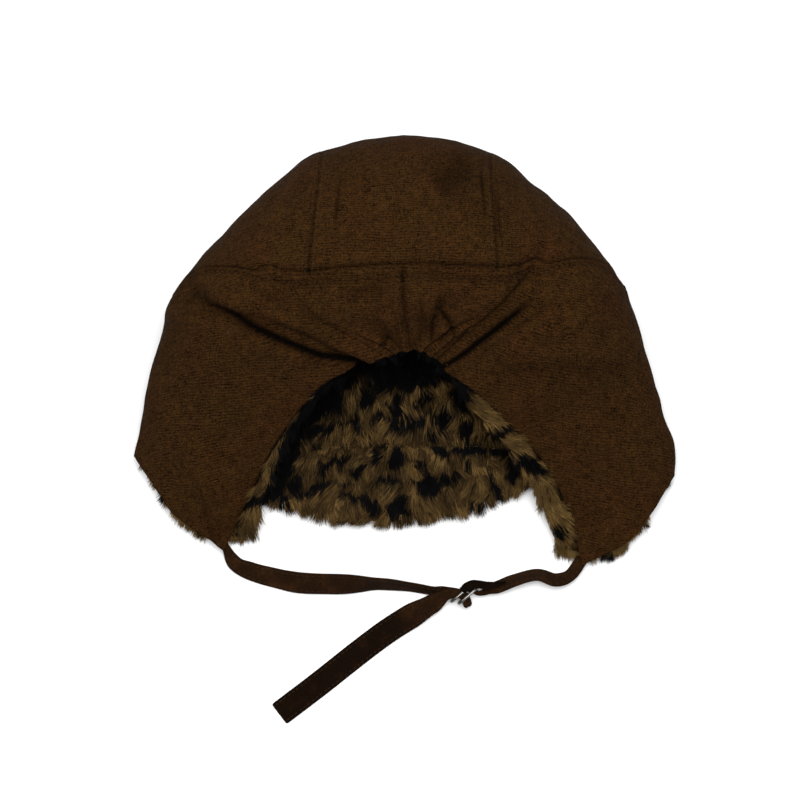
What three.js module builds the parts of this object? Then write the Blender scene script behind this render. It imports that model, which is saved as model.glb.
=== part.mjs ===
// Trooper hat, lying on its front with the back up and both ear flaps spread, chin strap fastened.
// Millimetres, +Z up. The floor is z = 0, the crown's top points to +Y and the chin strap lies at -Y.
// The origin is on the floor under the middle of the crown.

import * as THREE from 'three';

// Driving sizes
const CLOTH = 1.4; // brushed cotton with its interlining
const GAP = 0.3; // clearance between neighbouring pieces
const LINING_GAP = 0.5; // between the cloth and the fur's backing
const PILE = 5; // fur lining as it lies pressed under the cloth
const FREE_PILE = 8; // fur where nothing presses it
const FLOOR_CLEARANCE = 0.6; // the fur stays this far above the floor
const FRONT_SEAM_Y = -82; // seam between the crown's front and the visor
const FRONT_SEAM_BOW = 14; // how far that seam sweeps down at the temples
const TEMPLE_X = 89;
const BACK_SEAM = 0.55; // share of the way from the outline to the back edge where the band starts
const ROLL = 1.2; // width of the rounded underside over the outline's height
const ROLL_LIMIT = 0.6; // and at most this share of the way to the front seam
const LIFT_OFF = -0.5; // place along a section where the front leaves the floor
const STRAP_WIDTH = 14.7;
const STRAP_THICKNESS = 1.5;
const STEEP = 0.3; // below this slope's cosine a strap keeps the side it had
const RING_WIRE = 0.75; // wire radius
const RING_LONG = 7.3; // half length of a ring, to the wire's middle
const RING_SHORT = 5; // half height of a ring, to the wire's middle
const SQUAREST = 0.2; // least sine of the angle between a seam and the sections
const RING_SQUARENESS = 0.55; // 1 is an ellipse, less is squarer

// Sections of the hat, from the left flap's front edge round over the crown to the right flap's.
// front: x where the section leaves the front seam, on the floor. rim: widest point, where the cloth turns up.
// mid: a point on the back. edge: end at the flap's inner edge or the gathered nape.
// seam: where the band's seam crosses the section, -1 at the front seam, 0 at the rim and 1 at the edge.
const SECTIONS = [
  { front: -90, rim: [-154, -88, 10], mid: [-136, -115, 16], edge: [-103, -142, 8], seam: -0.9 },
  { front: -87.5, rim: [-149, -64, 18], mid: [-124, -87, 30], edge: [-90, -114, 20], seam: -0.8 },
  { front: -84.5, rim: [-143, -37, 28], mid: [-111, -56, 48], edge: [-72, -79, 40], seam: -0.55 },
  { front: -81, rim: [-136, -14, 36], mid: [-99, -30, 65], edge: [-48, -50, 60], seam: -0.3 },
  { front: -77, rim: [-133, -4, 40], mid: [-87, -18, 75], edge: [-29, -39, 69], seam: -0.12 },
  { front: -72.5, rim: [-124, 12, 43], mid: [-79, -7, 82], edge: [-19, -36, 73], seam: 0.08 },
  { front: -66, rim: [-98.5, 40.5, 45], mid: [-74, 6.5, 85], edge: [-13, -33, 75], seam: 0.45 },
  { front: -56, rim: [-72, 66.5, 45], mid: [-64, 11.5, 88.5], edge: [-8, -32, 76], seam: 0.53 },
  { front: -42, rim: [-46, 83.5, 45], mid: [-53, 14.5, 92], edge: [-4, -30, 77], seam: BACK_SEAM },
  { front: 4, rim: [1, 92, 45], mid: [-1, 18.5, 96], edge: [3, -29.3, 78], seam: BACK_SEAM },
  { front: 42, rim: [47, 83, 45], mid: [50.5, 16.5, 93], edge: [10, -30.5, 76.5], seam: BACK_SEAM },
  { front: 56, rim: [71, 66, 45], mid: [61, 14.5, 90], edge: [15, -32.5, 75], seam: 0.53 },
  { front: 66, rim: [95, 45, 45], mid: [71.5, 11.5, 86], edge: [19.5, -36.5, 73], seam: 0.46 },
  { front: 72, rim: [119, 14, 43], mid: [80, -6, 82], edge: [25, -43, 69], seam: 0.06 },
  { front: 76, rim: [128, -4, 40], mid: [91, -25, 71], edge: [41, -53, 60], seam: -0.2 },
  { front: 80, rim: [137, -33, 32], mid: [104, -49, 54], edge: [64, -75, 43], seam: -0.45 },
  { front: 83.5, rim: [146, -63, 22], mid: [120, -78, 36], edge: [83, -98, 29], seam: -0.7 },
  { front: 86, rim: [153, -83, 15], mid: [133, -101, 24], edge: [94, -124, 16], seam: -0.83 },
  { front: 88, rim: [154, -99, 10], mid: [135, -128, 16], edge: [101, -151, 8], seam: -0.9 },
];
const LAST = SECTIONS.length - 1;
const SLOPE_STEP = 0.002; // for measuring the face's slopes
const STRIP_LEFT = 8;
const CENTRE = 9;
const STRIP_RIGHT = 10;

// Columns of the mesh in each stretch of sections, close together where the nape is gathered
const STRETCHES = [
  { from: 0, to: 5, steps: 9 },
  { from: 5, to: STRIP_LEFT, steps: 8 },
  { from: STRIP_LEFT, to: CENTRE, steps: 3 },
  { from: CENTRE, to: STRIP_RIGHT, steps: 3 },
  { from: STRIP_RIGHT, to: 13, steps: 8 },
  { from: 13, to: LAST, steps: 9 },
];
const CROWN_ROWS = 10;
const BAND_ROWS = 12;

// Folds and dents. section and reach are where and how wide, in sections; from and to along the section;
// deep is how far the cloth sinks, and a negative one stands up as a ridge.
const FOLD_STARTS_OVER = 0.25; // length along the section over which a fold comes in
const FOLD_ENDS_OVER = 0.15; // and over which it goes
const FOLDS = [
  { section: 4.35, reach: 0.42, from: 0.02, to: 1.0, deep: 6.0 },
  { section: 5.35, reach: 0.35, from: 0.1, to: 0.6, deep: 2.5 },
  { section: 9.55, reach: 0.3, from: 0.62, to: 1.0, deep: 3.5 },
  { section: 10.1, reach: 0.22, from: 0.66, to: 0.98, deep: 2.5 },
  { section: 11.9, reach: 0.45, from: 0.3, to: 1.0, deep: 5 },
  { section: 13.1, reach: 0.4, from: 0.35, to: 1.0, deep: 3.0 },
  { section: 14.6, reach: 0.5, from: 0.3, to: 0.95, deep: -2.0 },
  { section: 1.0, reach: 0.5, from: 0.1, to: 0.95, deep: -2.2 },
  { section: 10.4, reach: 0.5, from: 0.08, to: 0.4, deep: 1.8 },
];

// Elastic gathers along the nape
const GATHER = { from: 5.5, to: 13, perSection: 1, start: 0.7, height: 1.2 };

// How far the fur shows past the cloth along the back edge, one row for each place round it
const FUR_RIM = [
  { section: 0, out: 1 },
  { section: 0.5, out: 17 },
  { section: 1, out: 12 },
  { section: 2, out: 6 },
  { section: 3.6, out: 2.5 },
  { section: 5, out: 1 },
  { section: 13, out: 1 },
  { section: 14, out: 12 },
  { section: 15.5, out: 18.5 },
  { section: 17.4, out: 17 },
  { section: 18, out: 1 },
];
// The fur stops short of each flap's tip, where the strap is sewn in under the cloth
const TUCK = { length: 12, reach: 0.8 };
const FRONT_FRINGE = 6; // fur past the flaps' front edges
const LEAST_FRINGE = 0.8; // fur past the cloth where nearly none shows
const FRINGE_ENDS = 0.7; // place along a section where the front fringe starts to fade
const TUCK_STARTS = 0.6; // share of the band where the tuck at a tip starts
const BACKING_EASE = 0.2; // the backing's edge lies this much higher than the pile's, off the floor

// Locks along the fur's free edges: each one's length over the fringe's, on average and how it varies
const LOCK = { mean: 0.72, swing: 0.28, wander: 0.12, step: 2.7 };

// Visor, from the left temple to the right: how far its fur reaches below the front seam
const VISOR = [
  { x: -89, out: 3 },
  { x: -82, out: 22.5 },
  { x: -64, out: 34.3 },
  { x: -39, out: 43.8 },
  { x: -11, out: 46.6 },
  { x: 12, out: 43.8 },
  { x: 42, out: 36 },
  { x: 60, out: 27 },
  { x: 75, out: 15 },
  { x: 87, out: 3 },
];
const VISOR_HEM = 5; // the cloth ends this far inside the fur
const VISOR_COLUMNS = 44;
const VISOR_CLOTH_ROWS = 3;
const VISOR_FUR_ROWS = 4;
const VISOR_LEAST = 2; // the visor's reach at the temples
// Soft lumps on the visor's fur: height, and turns for each column and row
const LUMPS = { height: 0.8, byColumn: 2.2, byRow: 3 };

// Chin strap, sewn to the left flap and threaded through both rings, then its free end.
// lift is the height of its lower side above the floor, roll turns the strap about its own line,
// and wide is its width over STRAP_WIDTH.
const STRAP_LONG = [
  { x: -104, y: -139.5, lift: 4.6, wide: 0.62, roll: 0 },
  { x: -97, y: -149.5, lift: 1.6, wide: 0.66, roll: 8 },
  { x: -88, y: -154, lift: 0.2, wide: 0.75, roll: 10 },
  { x: -75, y: -157.6, lift: 0.1, wide: 0.85, roll: 18 },
  { x: -61, y: -160.4, lift: 0.1, wide: 0.92, roll: 22 },
  { x: -41, y: -161.2, lift: 0.3, wide: 0.95, roll: 27 },
  { x: -13.7, y: -161, lift: 0.1, wide: 0.95, roll: 58 },
  { x: 3.5, y: -162.8, lift: 0.1, wide: 0.8, roll: 64 },
  { x: 16, y: -165, lift: 0.5, wide: 0.55, roll: 50 },
  { x: 25, y: -165.6, lift: 2, wide: 0.38, roll: 6 },
  { x: 31.7, y: -166.8, lift: 2.5, wide: 0.36, roll: 0 },
  { x: 35.4, y: -168.8, lift: 2.5, wide: 0.36, roll: 0 },
  { x: 39.6, y: -172, lift: 4.4, wide: 0.36, roll: 0 },
  { x: 35.4, y: -169.2, lift: 6.3, wide: 0.36, roll: 0 },
  { x: 31.4, y: -166.9, lift: 6.4, wide: 0.34, roll: 0 },
  { x: 25, y: -166.9, lift: 6.3, wide: 0.4, roll: 0 },
  { x: 15.5, y: -172.6, lift: 4.2, wide: 0.78, roll: 0 },
  { x: 3, y: -180, lift: 1.8, wide: 1, roll: 0 },
  { x: -10.2, y: -188.5, lift: 0.5, wide: 1, roll: 0 },
  { x: -25.1, y: -199.6, lift: 0.1, wide: 1, roll: 0 },
  { x: -49.7, y: -219, lift: 0.1, wide: 1, roll: 0 },
  { x: -72.1, y: -236, lift: 0.1, wide: 1, roll: 0 },
];

// Short strap, sewn to the right flap and looped through the rings
const STRAP_SHORT = [
  { x: 101.5, y: -146.5, lift: 4.6, wide: 0.5, roll: 0 },
  { x: 94, y: -156.5, lift: 2, wide: 0.55, roll: 30 },
  { x: 86.3, y: -158.9, lift: 0.2, wide: 0.75, roll: 52 },
  { x: 76, y: -155.9, lift: 0.1, wide: 0.8, roll: 58 },
  { x: 62.9, y: -156.6, lift: 0.1, wide: 0.75, roll: 55 },
  { x: 54, y: -160, lift: 0.1, wide: 0.62, roll: 48 },
  { x: 47, y: -162.8, lift: 3.6, wide: 0.26, roll: 6 },
  { x: 42.5, y: -165, lift: 4.35, wide: 0.16, roll: 0 },
  { x: 38.5, y: -164.9, lift: 4.35, wide: 0.16, roll: 0 },
  { x: 34.4, y: -164.3, lift: 4.35, wide: 0.16, roll: 0 },
  { x: 31.3, y: -164.2, lift: 4.35, wide: 0.16, roll: 0 },
];

const STRAP_LONG_STEPS = 76;
const STRAP_SHORT_STEPS = 24;
const STRAP_COLUMNS = 2;

// Rings of the buckle: middle of each, standing across the strap
const RINGS = [
  { name: 'buckle_ring_inner', at: [32.1, -166.4, 5.9] },
  { name: 'buckle_ring_outer', at: [36.2, -167.5, 5.9] },
];
const RING_TURN = 41; // degrees from +X to the ring's long side
const RING_SIDES = 6;
const RING_STEPS = 24;

// Colours of the finishes
const BROWN = new THREE.MeshStandardMaterial({ color: 0x3a2410, roughness: 0.95, metalness: 0 });
const STRAP_BROWN = new THREE.MeshStandardMaterial({ color: 0x24150c, roughness: 0.92, metalness: 0 });
const FUR = new THREE.MeshStandardMaterial({ color: 0x5a4326, roughness: 1, metalness: 0 });
const STEEL = new THREE.MeshStandardMaterial({ color: 0xc9c9c6, roughness: 0.25, metalness: 1 });

const hat = new THREE.Group();

// Numbers that run smoothly through a table

function smooth(before, start, end, after, t) {
  const slopeIn = (end - before) / 2;
  const slopeOut = (after - start) / 2;
  const t2 = t * t;
  const t3 = t2 * t;
  return (2 * t3 - 3 * t2 + 1) * start + (t3 - 2 * t2 + t) * slopeIn
    + (3 * t2 - 2 * t3) * end + (t3 - t2) * slopeOut;
}

function sectionAt(a, read) {
  const first = Math.min(Math.max(Math.floor(a), 0), LAST - 1);
  const row = (offset) => read(SECTIONS[Math.min(Math.max(first + offset, 0), LAST)]);
  return smooth(row(-1), row(0), row(1), row(2), a - first);
}

function pointAt(a, key) {
  const axis = (k) => sectionAt(a, (row) => row[key][k]);
  return new THREE.Vector3(axis(0), axis(1), axis(2));
}

function seamAt(a) {
  const first = Math.min(Math.floor(a), LAST - 1);
  const share = THREE.MathUtils.smoothstep(a - first, 0, 1);
  return THREE.MathUtils.lerp(SECTIONS[first].seam, SECTIONS[first + 1].seam, share);
}

function alongTable(table, key, x, value) {
  let k = 1;
  while (k < table.length - 1 && table[k][key] < x) k += 1;
  const low = table[k - 1];
  const high = table[k];
  const share = THREE.MathUtils.clamp((x - low[key]) / (high[key] - low[key]), 0, 1);
  return THREE.MathUtils.lerp(low[value], high[value], share);
}

function frontSeam(x) {
  return new THREE.Vector3(x, FRONT_SEAM_Y - FRONT_SEAM_BOW * (x / TEMPLE_X) ** 4, 0);
}

// Outer face of the hat. s is -1 at the front seam, 0 at the rim and 1 at the back edge.

function face(a, s) {
  const rim = pointAt(a, 'rim');
  const mid = pointAt(a, 'mid');
  if (s < 0) {
    const front = frontSeam(sectionAt(a, (row) => row.front));
    const inward = new THREE.Vector3(front.x - rim.x, front.y - rim.y, 0);
    const roll = Math.min(ROLL * rim.z, ROLL_LIMIT * inward.length());
    const lift = new THREE.Vector3(rim.x, rim.y, 0).addScaledVector(inward.normalize(), roll);
    if (s < LIFT_OFF) return front.lerp(lift, (s + 1) / (LIFT_OFF + 1));
    const turn = (s - LIFT_OFF) / -LIFT_OFF * (Math.PI / 2);
    const out = Math.sin(turn);
    const up = 1 - Math.cos(turn);
    return new THREE.Vector3(
      THREE.MathUtils.lerp(lift.x, rim.x, out),
      THREE.MathUtils.lerp(lift.y, rim.y, out),
      rim.z * up,
    );
  }
  const rise = new THREE.Vector3().subVectors(mid, rim);
  if (s < BACK_SEAM) {
    const turn = (s / BACK_SEAM) * (Math.PI / 2);
    const over = 1 - Math.cos(turn);
    return new THREE.Vector3(rim.x + rise.x * over, rim.y + rise.y * over, rim.z + rise.z * Math.sin(turn));
  }
  const edge = pointAt(a, 'edge');
  const t = (s - BACK_SEAM) / (1 - BACK_SEAM);
  const speed = (Math.PI / 2) * ((1 - BACK_SEAM) / BACK_SEAM);
  const leave = new THREE.Vector3(rise.x * speed, rise.y * speed, 0);
  const arrive = new THREE.Vector3().subVectors(edge, mid);
  const t2 = t * t;
  const t3 = t2 * t;
  return new THREE.Vector3()
    .addScaledVector(mid, 2 * t3 - 3 * t2 + 1)
    .addScaledVector(leave, t3 - 2 * t2 + t)
    .addScaledVector(edge, 3 * t2 - 2 * t3)
    .addScaledVector(arrive, t3 - t2);
}

function sunk(a, s) {
  let depth = 0;
  for (const fold of FOLDS) {
    const across = Math.exp(-(((a - fold.section) / fold.reach) ** 2));
    const into = THREE.MathUtils.smoothstep(s, fold.from, fold.from + FOLD_STARTS_OVER);
    const outOf = 1 - THREE.MathUtils.smoothstep(s, fold.to, fold.to + FOLD_ENDS_OVER);
    depth += fold.deep * across * into * outOf;
  }
  const inGather = THREE.MathUtils.smoothstep(a, GATHER.from, GATHER.from + 1)
    * (1 - THREE.MathUtils.smoothstep(a, GATHER.to - 1, GATHER.to));
  const nearEdge = THREE.MathUtils.smoothstep(s, GATHER.start, 1);
  return depth + GATHER.height * inGather * nearEdge * Math.sin(2 * Math.PI * GATHER.perSection * a);
}

// The face, its outward direction and its two slopes at one place
function cloth(a, s) {
  const step = SLOPE_STEP;
  const ahead = Math.min(Math.max(a, 0), LAST);
  const end = Math.min(Math.max(s, -1), 1);
  const a0 = Math.max(ahead - step, 0);
  const a1 = Math.min(ahead + step, LAST);
  const s0 = Math.max(end - step, -1);
  const s1 = Math.min(end + step, 1);
  const alongA = face(a1, end).sub(face(a0, end)).divideScalar(a1 - a0);
  const alongS = face(ahead, s1).sub(face(ahead, s0)).divideScalar(s1 - s0);
  const out = new THREE.Vector3().crossVectors(alongS, alongA).normalize();
  const at = face(ahead, end).addScaledVector(alongA, a - ahead).addScaledVector(alongS, s - end);
  return { at: at.addScaledVector(out, -sunk(ahead, end)), out, alongA, alongS };
}

// Walls: a box whose grid is bent onto place(i, j, w), w = 0 on its first face and 1 on its second.
// Each cell is cut along the shorter diagonal of sheet(i, j), so that layers on one sheet stay parallel.

function bentWall(name, columns, rows, place, material, sheet = (i, j) => place(i, j, 0)) {
  const geometry = new THREE.BoxGeometry(1, 1, 1, columns, rows, 1);
  const { position } = geometry.attributes;
  const cells = [];
  for (let k = 0; k < position.count; k += 1) {
    const i = Math.round((position.getX(k) + 0.5) * columns);
    const j = Math.round((position.getY(k) + 0.5) * rows);
    const w = Math.round(position.getZ(k) + 0.5);
    const point = place(i, j, w);
    position.setXYZ(k, point.x, point.y, point.z);
    cells.push([i, j]);
  }
  const index = geometry.getIndex();
  for (let k = 0; k < index.count; k += 6) {
    const [a, b, c, d] = [0, 1, 4, 2].map((corner) => index.getX(k + corner));
    const long = (p, q) => sheet(...cells[p]).distanceTo(sheet(...cells[q]));
    if (long(a, c) < long(b, d)) {
      [a, b, c, a, c, d].forEach((corner, n) => index.setX(k + n, corner));
    }
  }
  geometry.computeVertexNormals();
  const mesh = new THREE.Mesh(geometry, material);
  mesh.name = name;
  hat.add(mesh);
}

const ALL_COLUMNS = [0];
for (const stretch of STRETCHES) {
  for (let k = 1; k <= stretch.steps; k += 1) {
    ALL_COLUMNS.push(stretch.from + ((stretch.to - stretch.from) * k) / stretch.steps);
  }
}

// Shifts a panel's edge back from its seam by half the gap, square to the seam
function trimmed(a, s, sideA, sideS, slope, w) {
  const here = cloth(a, s);
  const backA = (sideA * GAP) / 2 / here.alongA.length();
  const along = here.alongA.clone().addScaledVector(here.alongS, slope);
  const square = Math.max(Math.sin(along.angleTo(here.alongS)), SQUAREST);
  const backS = (sideS * GAP) / 2 / (here.alongS.length() * square);
  const there = cloth(a + backA, s + backS + slope * backA);
  return there.at.addScaledVector(there.out, -CLOTH * w);
}

function slopeOf(line, a) {
  const step = 0.01;
  const a0 = Math.max(a - step, 0);
  const a1 = Math.min(a + step, LAST);
  return (line(a1) - line(a0)) / (a1 - a0);
}

function panel(name, fromA, toA, low, high, rows, seams) {
  const columns = ALL_COLUMNS.filter((a) => a >= fromA - 1e-9 && a <= toA + 1e-9);
  const count = columns.length - 1;
  const sAt = (i, j) => THREE.MathUtils.lerp(low(columns[i]), high(columns[i]), j / rows);
  bentWall(name, count, rows, (i, j, w) => {
    const a = columns[i];
    const s = sAt(i, j);
    const sideA = (i === 0 && seams.left ? 1 : 0) - (i === count && seams.right ? 1 : 0);
    const sideS = (j === 0 && seams.low ? 1 : 0) - (j === rows && seams.high ? 1 : 0);
    const slope = THREE.MathUtils.lerp(slopeOf(low, a), slopeOf(high, a), j / rows);
    return trimmed(a, s, sideA, sideS, slope, w);
  }, BROWN, (i, j) => cloth(columns[i], sAt(i, j)).at);
}

// Crown: two sides and the strip between them
const frontEdge = () => -1;
const backEdge = () => 1;
panel('crown_left', 0, STRIP_LEFT, frontEdge, seamAt, CROWN_ROWS, { right: true, low: true, high: true });
panel('crown_centre', STRIP_LEFT, STRIP_RIGHT, frontEdge, seamAt, CROWN_ROWS,
  { left: true, right: true, low: true, high: true });
panel('crown_right', STRIP_RIGHT, LAST, frontEdge, seamAt, CROWN_ROWS, { left: true, low: true, high: true });

// Band at the nape with its ear flaps, in two halves
panel('flap_left', 0, CENTRE, seamAt, backEdge, BAND_ROWS, { right: true, low: true });
panel('flap_right', CENTRE, LAST, seamAt, backEdge, BAND_ROWS, { left: true, low: true });

// Fur lining of the crown and the flaps, in locks along its free edges
const LINING_ROWS = CROWN_ROWS + BAND_ROWS;
const liningColumns = [-1, ...ALL_COLUMNS, LAST + 1]; // the fringe's columns lie past both ends

function lock(k) {
  return LOCK.mean + LOCK.swing * Math.cos(Math.PI * k) + LOCK.wander * Math.sin(LOCK.step * k);
}

function liningPlace(i, j) {
  const a = Math.min(Math.max(liningColumns[i], 0), LAST);
  const seam = seamAt(a);
  const inBand = j - CROWN_ROWS;
  const nearTip = 1 - THREE.MathUtils.smoothstep(Math.min(a, LAST - a), 0, TUCK.reach);
  const tuck = (TUCK.length * nearTip) / cloth(a, 1).alongS.length();
  const share = Math.min(inBand / BAND_ROWS, 1);
  const s = inBand <= 0
    ? THREE.MathUtils.lerp(-1, seam, j / CROWN_ROWS)
    : THREE.MathUtils.lerp(seam, 1, share) - tuck * THREE.MathUtils.smoothstep(share, TUCK_STARTS, 1);
  return { a, s, nearTip };
}

function lining(i, j, w) {
  const { a, s, nearTip } = liningPlace(i, j);
  const here = cloth(a, s);
  const gap = LINING_GAP * (1 + nearTip);
  const point = here.at.clone().addScaledVector(here.out, -CLOTH - gap - PILE * w);
  if (j > LINING_ROWS) {
    const rim = alongTable(FUR_RIM, 'section', a, 'out');
    point.addScaledVector(here.alongS.clone().normalize(), Math.max(rim * lock(i), LEAST_FRINGE));
  }
  if (liningColumns[i] !== a) {
    const fringe = FRONT_FRINGE * (1 - THREE.MathUtils.smoothstep(s, FRINGE_ENDS, 1));
    const along = here.alongA.clone().normalize();
    point.addScaledVector(along, Math.sign(liningColumns[i]) * Math.max(fringe * lock(j), GAP));
  }
  point.z = Math.max(point.z, FLOOR_CLEARANCE + (1 - w) * BACKING_EASE);
  return point;
}

// The box's columns run along the sections here, which turns its first face to the inside
bentWall('lining_crown', LINING_ROWS + 1, liningColumns.length - 1, (j, i, w) => lining(i, j, 1 - w), FUR,
  (j, i) => cloth(liningPlace(i, j).a, liningPlace(i, j).s).at);

// Visor: brown cloth on the floor, fur on top of it
function visorPoint(i, share, trim) {
  const x = THREE.MathUtils.lerp(VISOR[0].x, VISOR[VISOR.length - 1].x, i / VISOR_COLUMNS);
  const seam = frontSeam(x);
  const reach = alongTable(VISOR, 'x', x, 'out') - trim;
  return new THREE.Vector3(x, seam.y - GAP / 2 - Math.max(reach, VISOR_LEAST) * share, 0);
}

bentWall('visor_cloth', VISOR_COLUMNS, VISOR_CLOTH_ROWS, (i, j, w) => {
  const point = visorPoint(i, 1 - j / VISOR_CLOTH_ROWS, VISOR_HEM);
  point.z = CLOTH * (w === 0 ? 0 : 1);
  return point;
}, BROWN);

bentWall('visor_fur', VISOR_COLUMNS, VISOR_FUR_ROWS, (i, j, w) => {
  const share = 1 - j / VISOR_FUR_ROWS;
  const point = visorPoint(i, share, share === 1 ? VISOR_HEM * (1 - lock(i)) : 0);
  const curl = share * share;
  const low = CLOTH + GAP;
  const lump = LUMPS.height * Math.sin(LUMPS.byColumn * i + LUMPS.byRow * j);
  const high = THREE.MathUtils.lerp(PILE, FREE_PILE, 1 - curl) + lump;
  point.z = w === 0 ? low : low + high;
  return point;
}, FUR);

// Straps: a flat ribbon that follows a table of places, widths and rolls

function ribbon(name, table, steps, material) {
  const rowAt = (t, key) => {
    const place = t * (table.length - 1);
    const first = Math.min(Math.floor(place), table.length - 2);
    const share = THREE.MathUtils.smoothstep(place - first, 0, 1);
    return THREE.MathUtils.lerp(table[first][key], table[first + 1][key], share);
  };
  const middles = table.map((row) => {
    const roll = THREE.MathUtils.degToRad(row.roll);
    const half = (row.wide * STRAP_WIDTH * Math.sin(roll) + STRAP_THICKNESS * Math.cos(roll)) / 2;
    return new THREE.Vector3(row.x, row.y, row.lift + half);
  });
  const curve = new THREE.CatmullRomCurve3(middles);
  const up = new THREE.Vector3(0, 0, 1);
  const ahead = new THREE.Vector3();
  let side = null;
  const frames = [];
  for (let i = 0; i <= steps; i += 1) {
    const t = i / steps;
    curve.getTangent(t, ahead);
    const level = new THREE.Vector3().crossVectors(up, ahead);
    if (side && level.dot(side) < 0) level.negate();
    side = !side || level.length() > STEEP ? level.normalize() : side;
    const square = new THREE.Vector3().crossVectors(ahead, side);
    const roll = THREE.MathUtils.degToRad(rowAt(t, 'roll'));
    const across = side.clone().multiplyScalar(Math.cos(roll)).addScaledVector(square, Math.sin(roll));
    const thick = new THREE.Vector3().crossVectors(ahead, across);
    frames.push({ at: curve.getPoint(t), across, thick, wide: rowAt(t, 'wide') * STRAP_WIDTH });
  }
  bentWall(name, steps, STRAP_COLUMNS, (i, j, w) => {
    const frame = frames[i];
    return frame.at.clone()
      .addScaledVector(frame.across, (j / STRAP_COLUMNS - 0.5) * frame.wide)
      .addScaledVector(frame.thick, (w - 0.5) * STRAP_THICKNESS);
  }, material);
}

ribbon('strap_long', STRAP_LONG, STRAP_LONG_STEPS, STRAP_BROWN);
ribbon('strap_short', STRAP_SHORT, STRAP_SHORT_STEPS, STRAP_BROWN);

// Buckle: two wire rings, oblong with round corners
function ringLine(turn) {
  const squared = (value) => Math.sign(value) * Math.abs(value) ** RING_SQUARENESS;
  return new THREE.Vector2(RING_LONG * squared(Math.cos(turn)), RING_SHORT * squared(Math.sin(turn)));
}

for (const ring of RINGS) {
  const geometry = new THREE.TorusGeometry(2, 1, RING_SIDES, RING_STEPS);
  const { position, uv } = geometry.attributes;
  for (let k = 0; k < position.count; k += 1) {
    const turn = uv.getX(k) * 2 * Math.PI;
    const around = uv.getY(k) * 2 * Math.PI;
    const middle = ringLine(turn);
    const ahead = ringLine(turn + 0.05).sub(ringLine(turn - 0.05)).normalize();
    const reach = RING_WIRE * Math.cos(around);
    position.setXYZ(k, middle.x + ahead.y * reach, middle.y - ahead.x * reach, RING_WIRE * Math.sin(around));
  }
  geometry.computeVertexNormals();
  const mesh = new THREE.Mesh(geometry, STEEL);
  mesh.name = ring.name;
  mesh.rotation.set(Math.PI / 2, 0, THREE.MathUtils.degToRad(RING_TURN), 'ZYX');
  mesh.position.set(...ring.at);
  hat.add(mesh);
}

export default hat;
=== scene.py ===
"""Looks of the trooper hat: brushed cotton, leopard fur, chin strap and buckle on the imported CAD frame.

Tables are in the part's millimetres. The meshes are in metres, in the frame of the CAD.
"""

import logging
import math
from dataclasses import dataclass, field, fields
from enum import Enum

import bmesh
import bpy
import numpy as np
from mathutils import Matrix, Vector

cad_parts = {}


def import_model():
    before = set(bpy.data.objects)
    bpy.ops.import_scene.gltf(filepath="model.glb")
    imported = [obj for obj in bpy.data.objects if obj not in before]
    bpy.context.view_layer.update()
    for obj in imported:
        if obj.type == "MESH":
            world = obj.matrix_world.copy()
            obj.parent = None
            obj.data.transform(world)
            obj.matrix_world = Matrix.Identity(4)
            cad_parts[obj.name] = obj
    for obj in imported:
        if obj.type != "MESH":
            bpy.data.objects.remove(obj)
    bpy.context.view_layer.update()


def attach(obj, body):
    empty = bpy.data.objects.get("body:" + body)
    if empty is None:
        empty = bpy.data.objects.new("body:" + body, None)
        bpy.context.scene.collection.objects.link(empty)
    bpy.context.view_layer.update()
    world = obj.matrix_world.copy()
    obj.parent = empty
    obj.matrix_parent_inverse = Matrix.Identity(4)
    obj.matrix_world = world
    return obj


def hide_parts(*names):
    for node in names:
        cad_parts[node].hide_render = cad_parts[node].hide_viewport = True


log = logging.getLogger("trooper_hat")

MM = 0.001
CLOTH = 1.4
FLOOR_DROP = 0.25
LINING_GAP = 0.5
BACK_SEAM = 0.55
ROLL = 1.2
FRONT_SEAM_Y = -82.0
FRONT_SEAM_BOW = 14.0
TEMPLE_X = 89.0
STRAP_WIDTH = 14.7
STRAP_THICKNESS = 1.5


# Numbers that run smoothly


def smoothstep(values: np.ndarray, low: float, high: float) -> np.ndarray:
    """Returns 0 below low, 1 above high and a smooth rise between them."""
    t = np.clip((values - low) / (high - low), 0.0, 1.0)
    return t * t * (3.0 - 2.0 * t)


def cubic(
    t: np.ndarray, start: np.ndarray, leave: np.ndarray, stop: np.ndarray, arrive: np.ndarray
) -> np.ndarray:
    """Returns places at shares t of a cubic from start to stop, with its slopes at both ends."""
    t2 = t * t
    t3 = t2 * t
    from_start = (2 * t3 - 3 * t2 + 1) * start + (t3 - 2 * t2 + t) * leave
    return from_start + (3 * t2 - 2 * t3) * stop + (t3 - t2) * arrive


def eased(values: np.ndarray, place: np.ndarray) -> np.ndarray:
    """Returns a column's value at places counted in rows, with a level start at each row."""
    first = np.clip(np.floor(place).astype(int), 0, len(values) - 2)
    share = smoothstep(place - first, 0.0, 1.0)
    return values[first] * (1 - share) + values[first + 1] * share


def catmull(values: np.ndarray, a: np.ndarray) -> np.ndarray:
    """Runs a smooth line through table rows.

    Args:
        values: One row for each section, of any width.
        a: Places along the table, in rows.

    Returns:
        One row for each place.
    """
    last = len(values) - 1
    first = np.clip(np.floor(a).astype(int), 0, last - 1)
    t = (a - first)[:, None]

    before, start, stop, after = (values[np.clip(first + step, 0, last)] for step in (-1, 0, 1, 2))
    return cubic(t, start, (stop - before) / 2, stop, (after - start) / 2)


def norms(vectors: np.ndarray) -> np.ndarray:
    """Returns the length of each row."""
    return np.linalg.norm(vectors, axis=1)


def unit(vectors: np.ndarray) -> np.ndarray:
    """Returns the vectors at length one."""
    return vectors / np.maximum(np.linalg.norm(vectors, axis=1, keepdims=True), 1e-9)


def bell(values: np.ndarray, width: float) -> np.ndarray:
    """Returns 1 at 0 with a smooth fall on both sides, to about a third at width."""
    return np.exp(-((values / width) ** 2))


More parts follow.
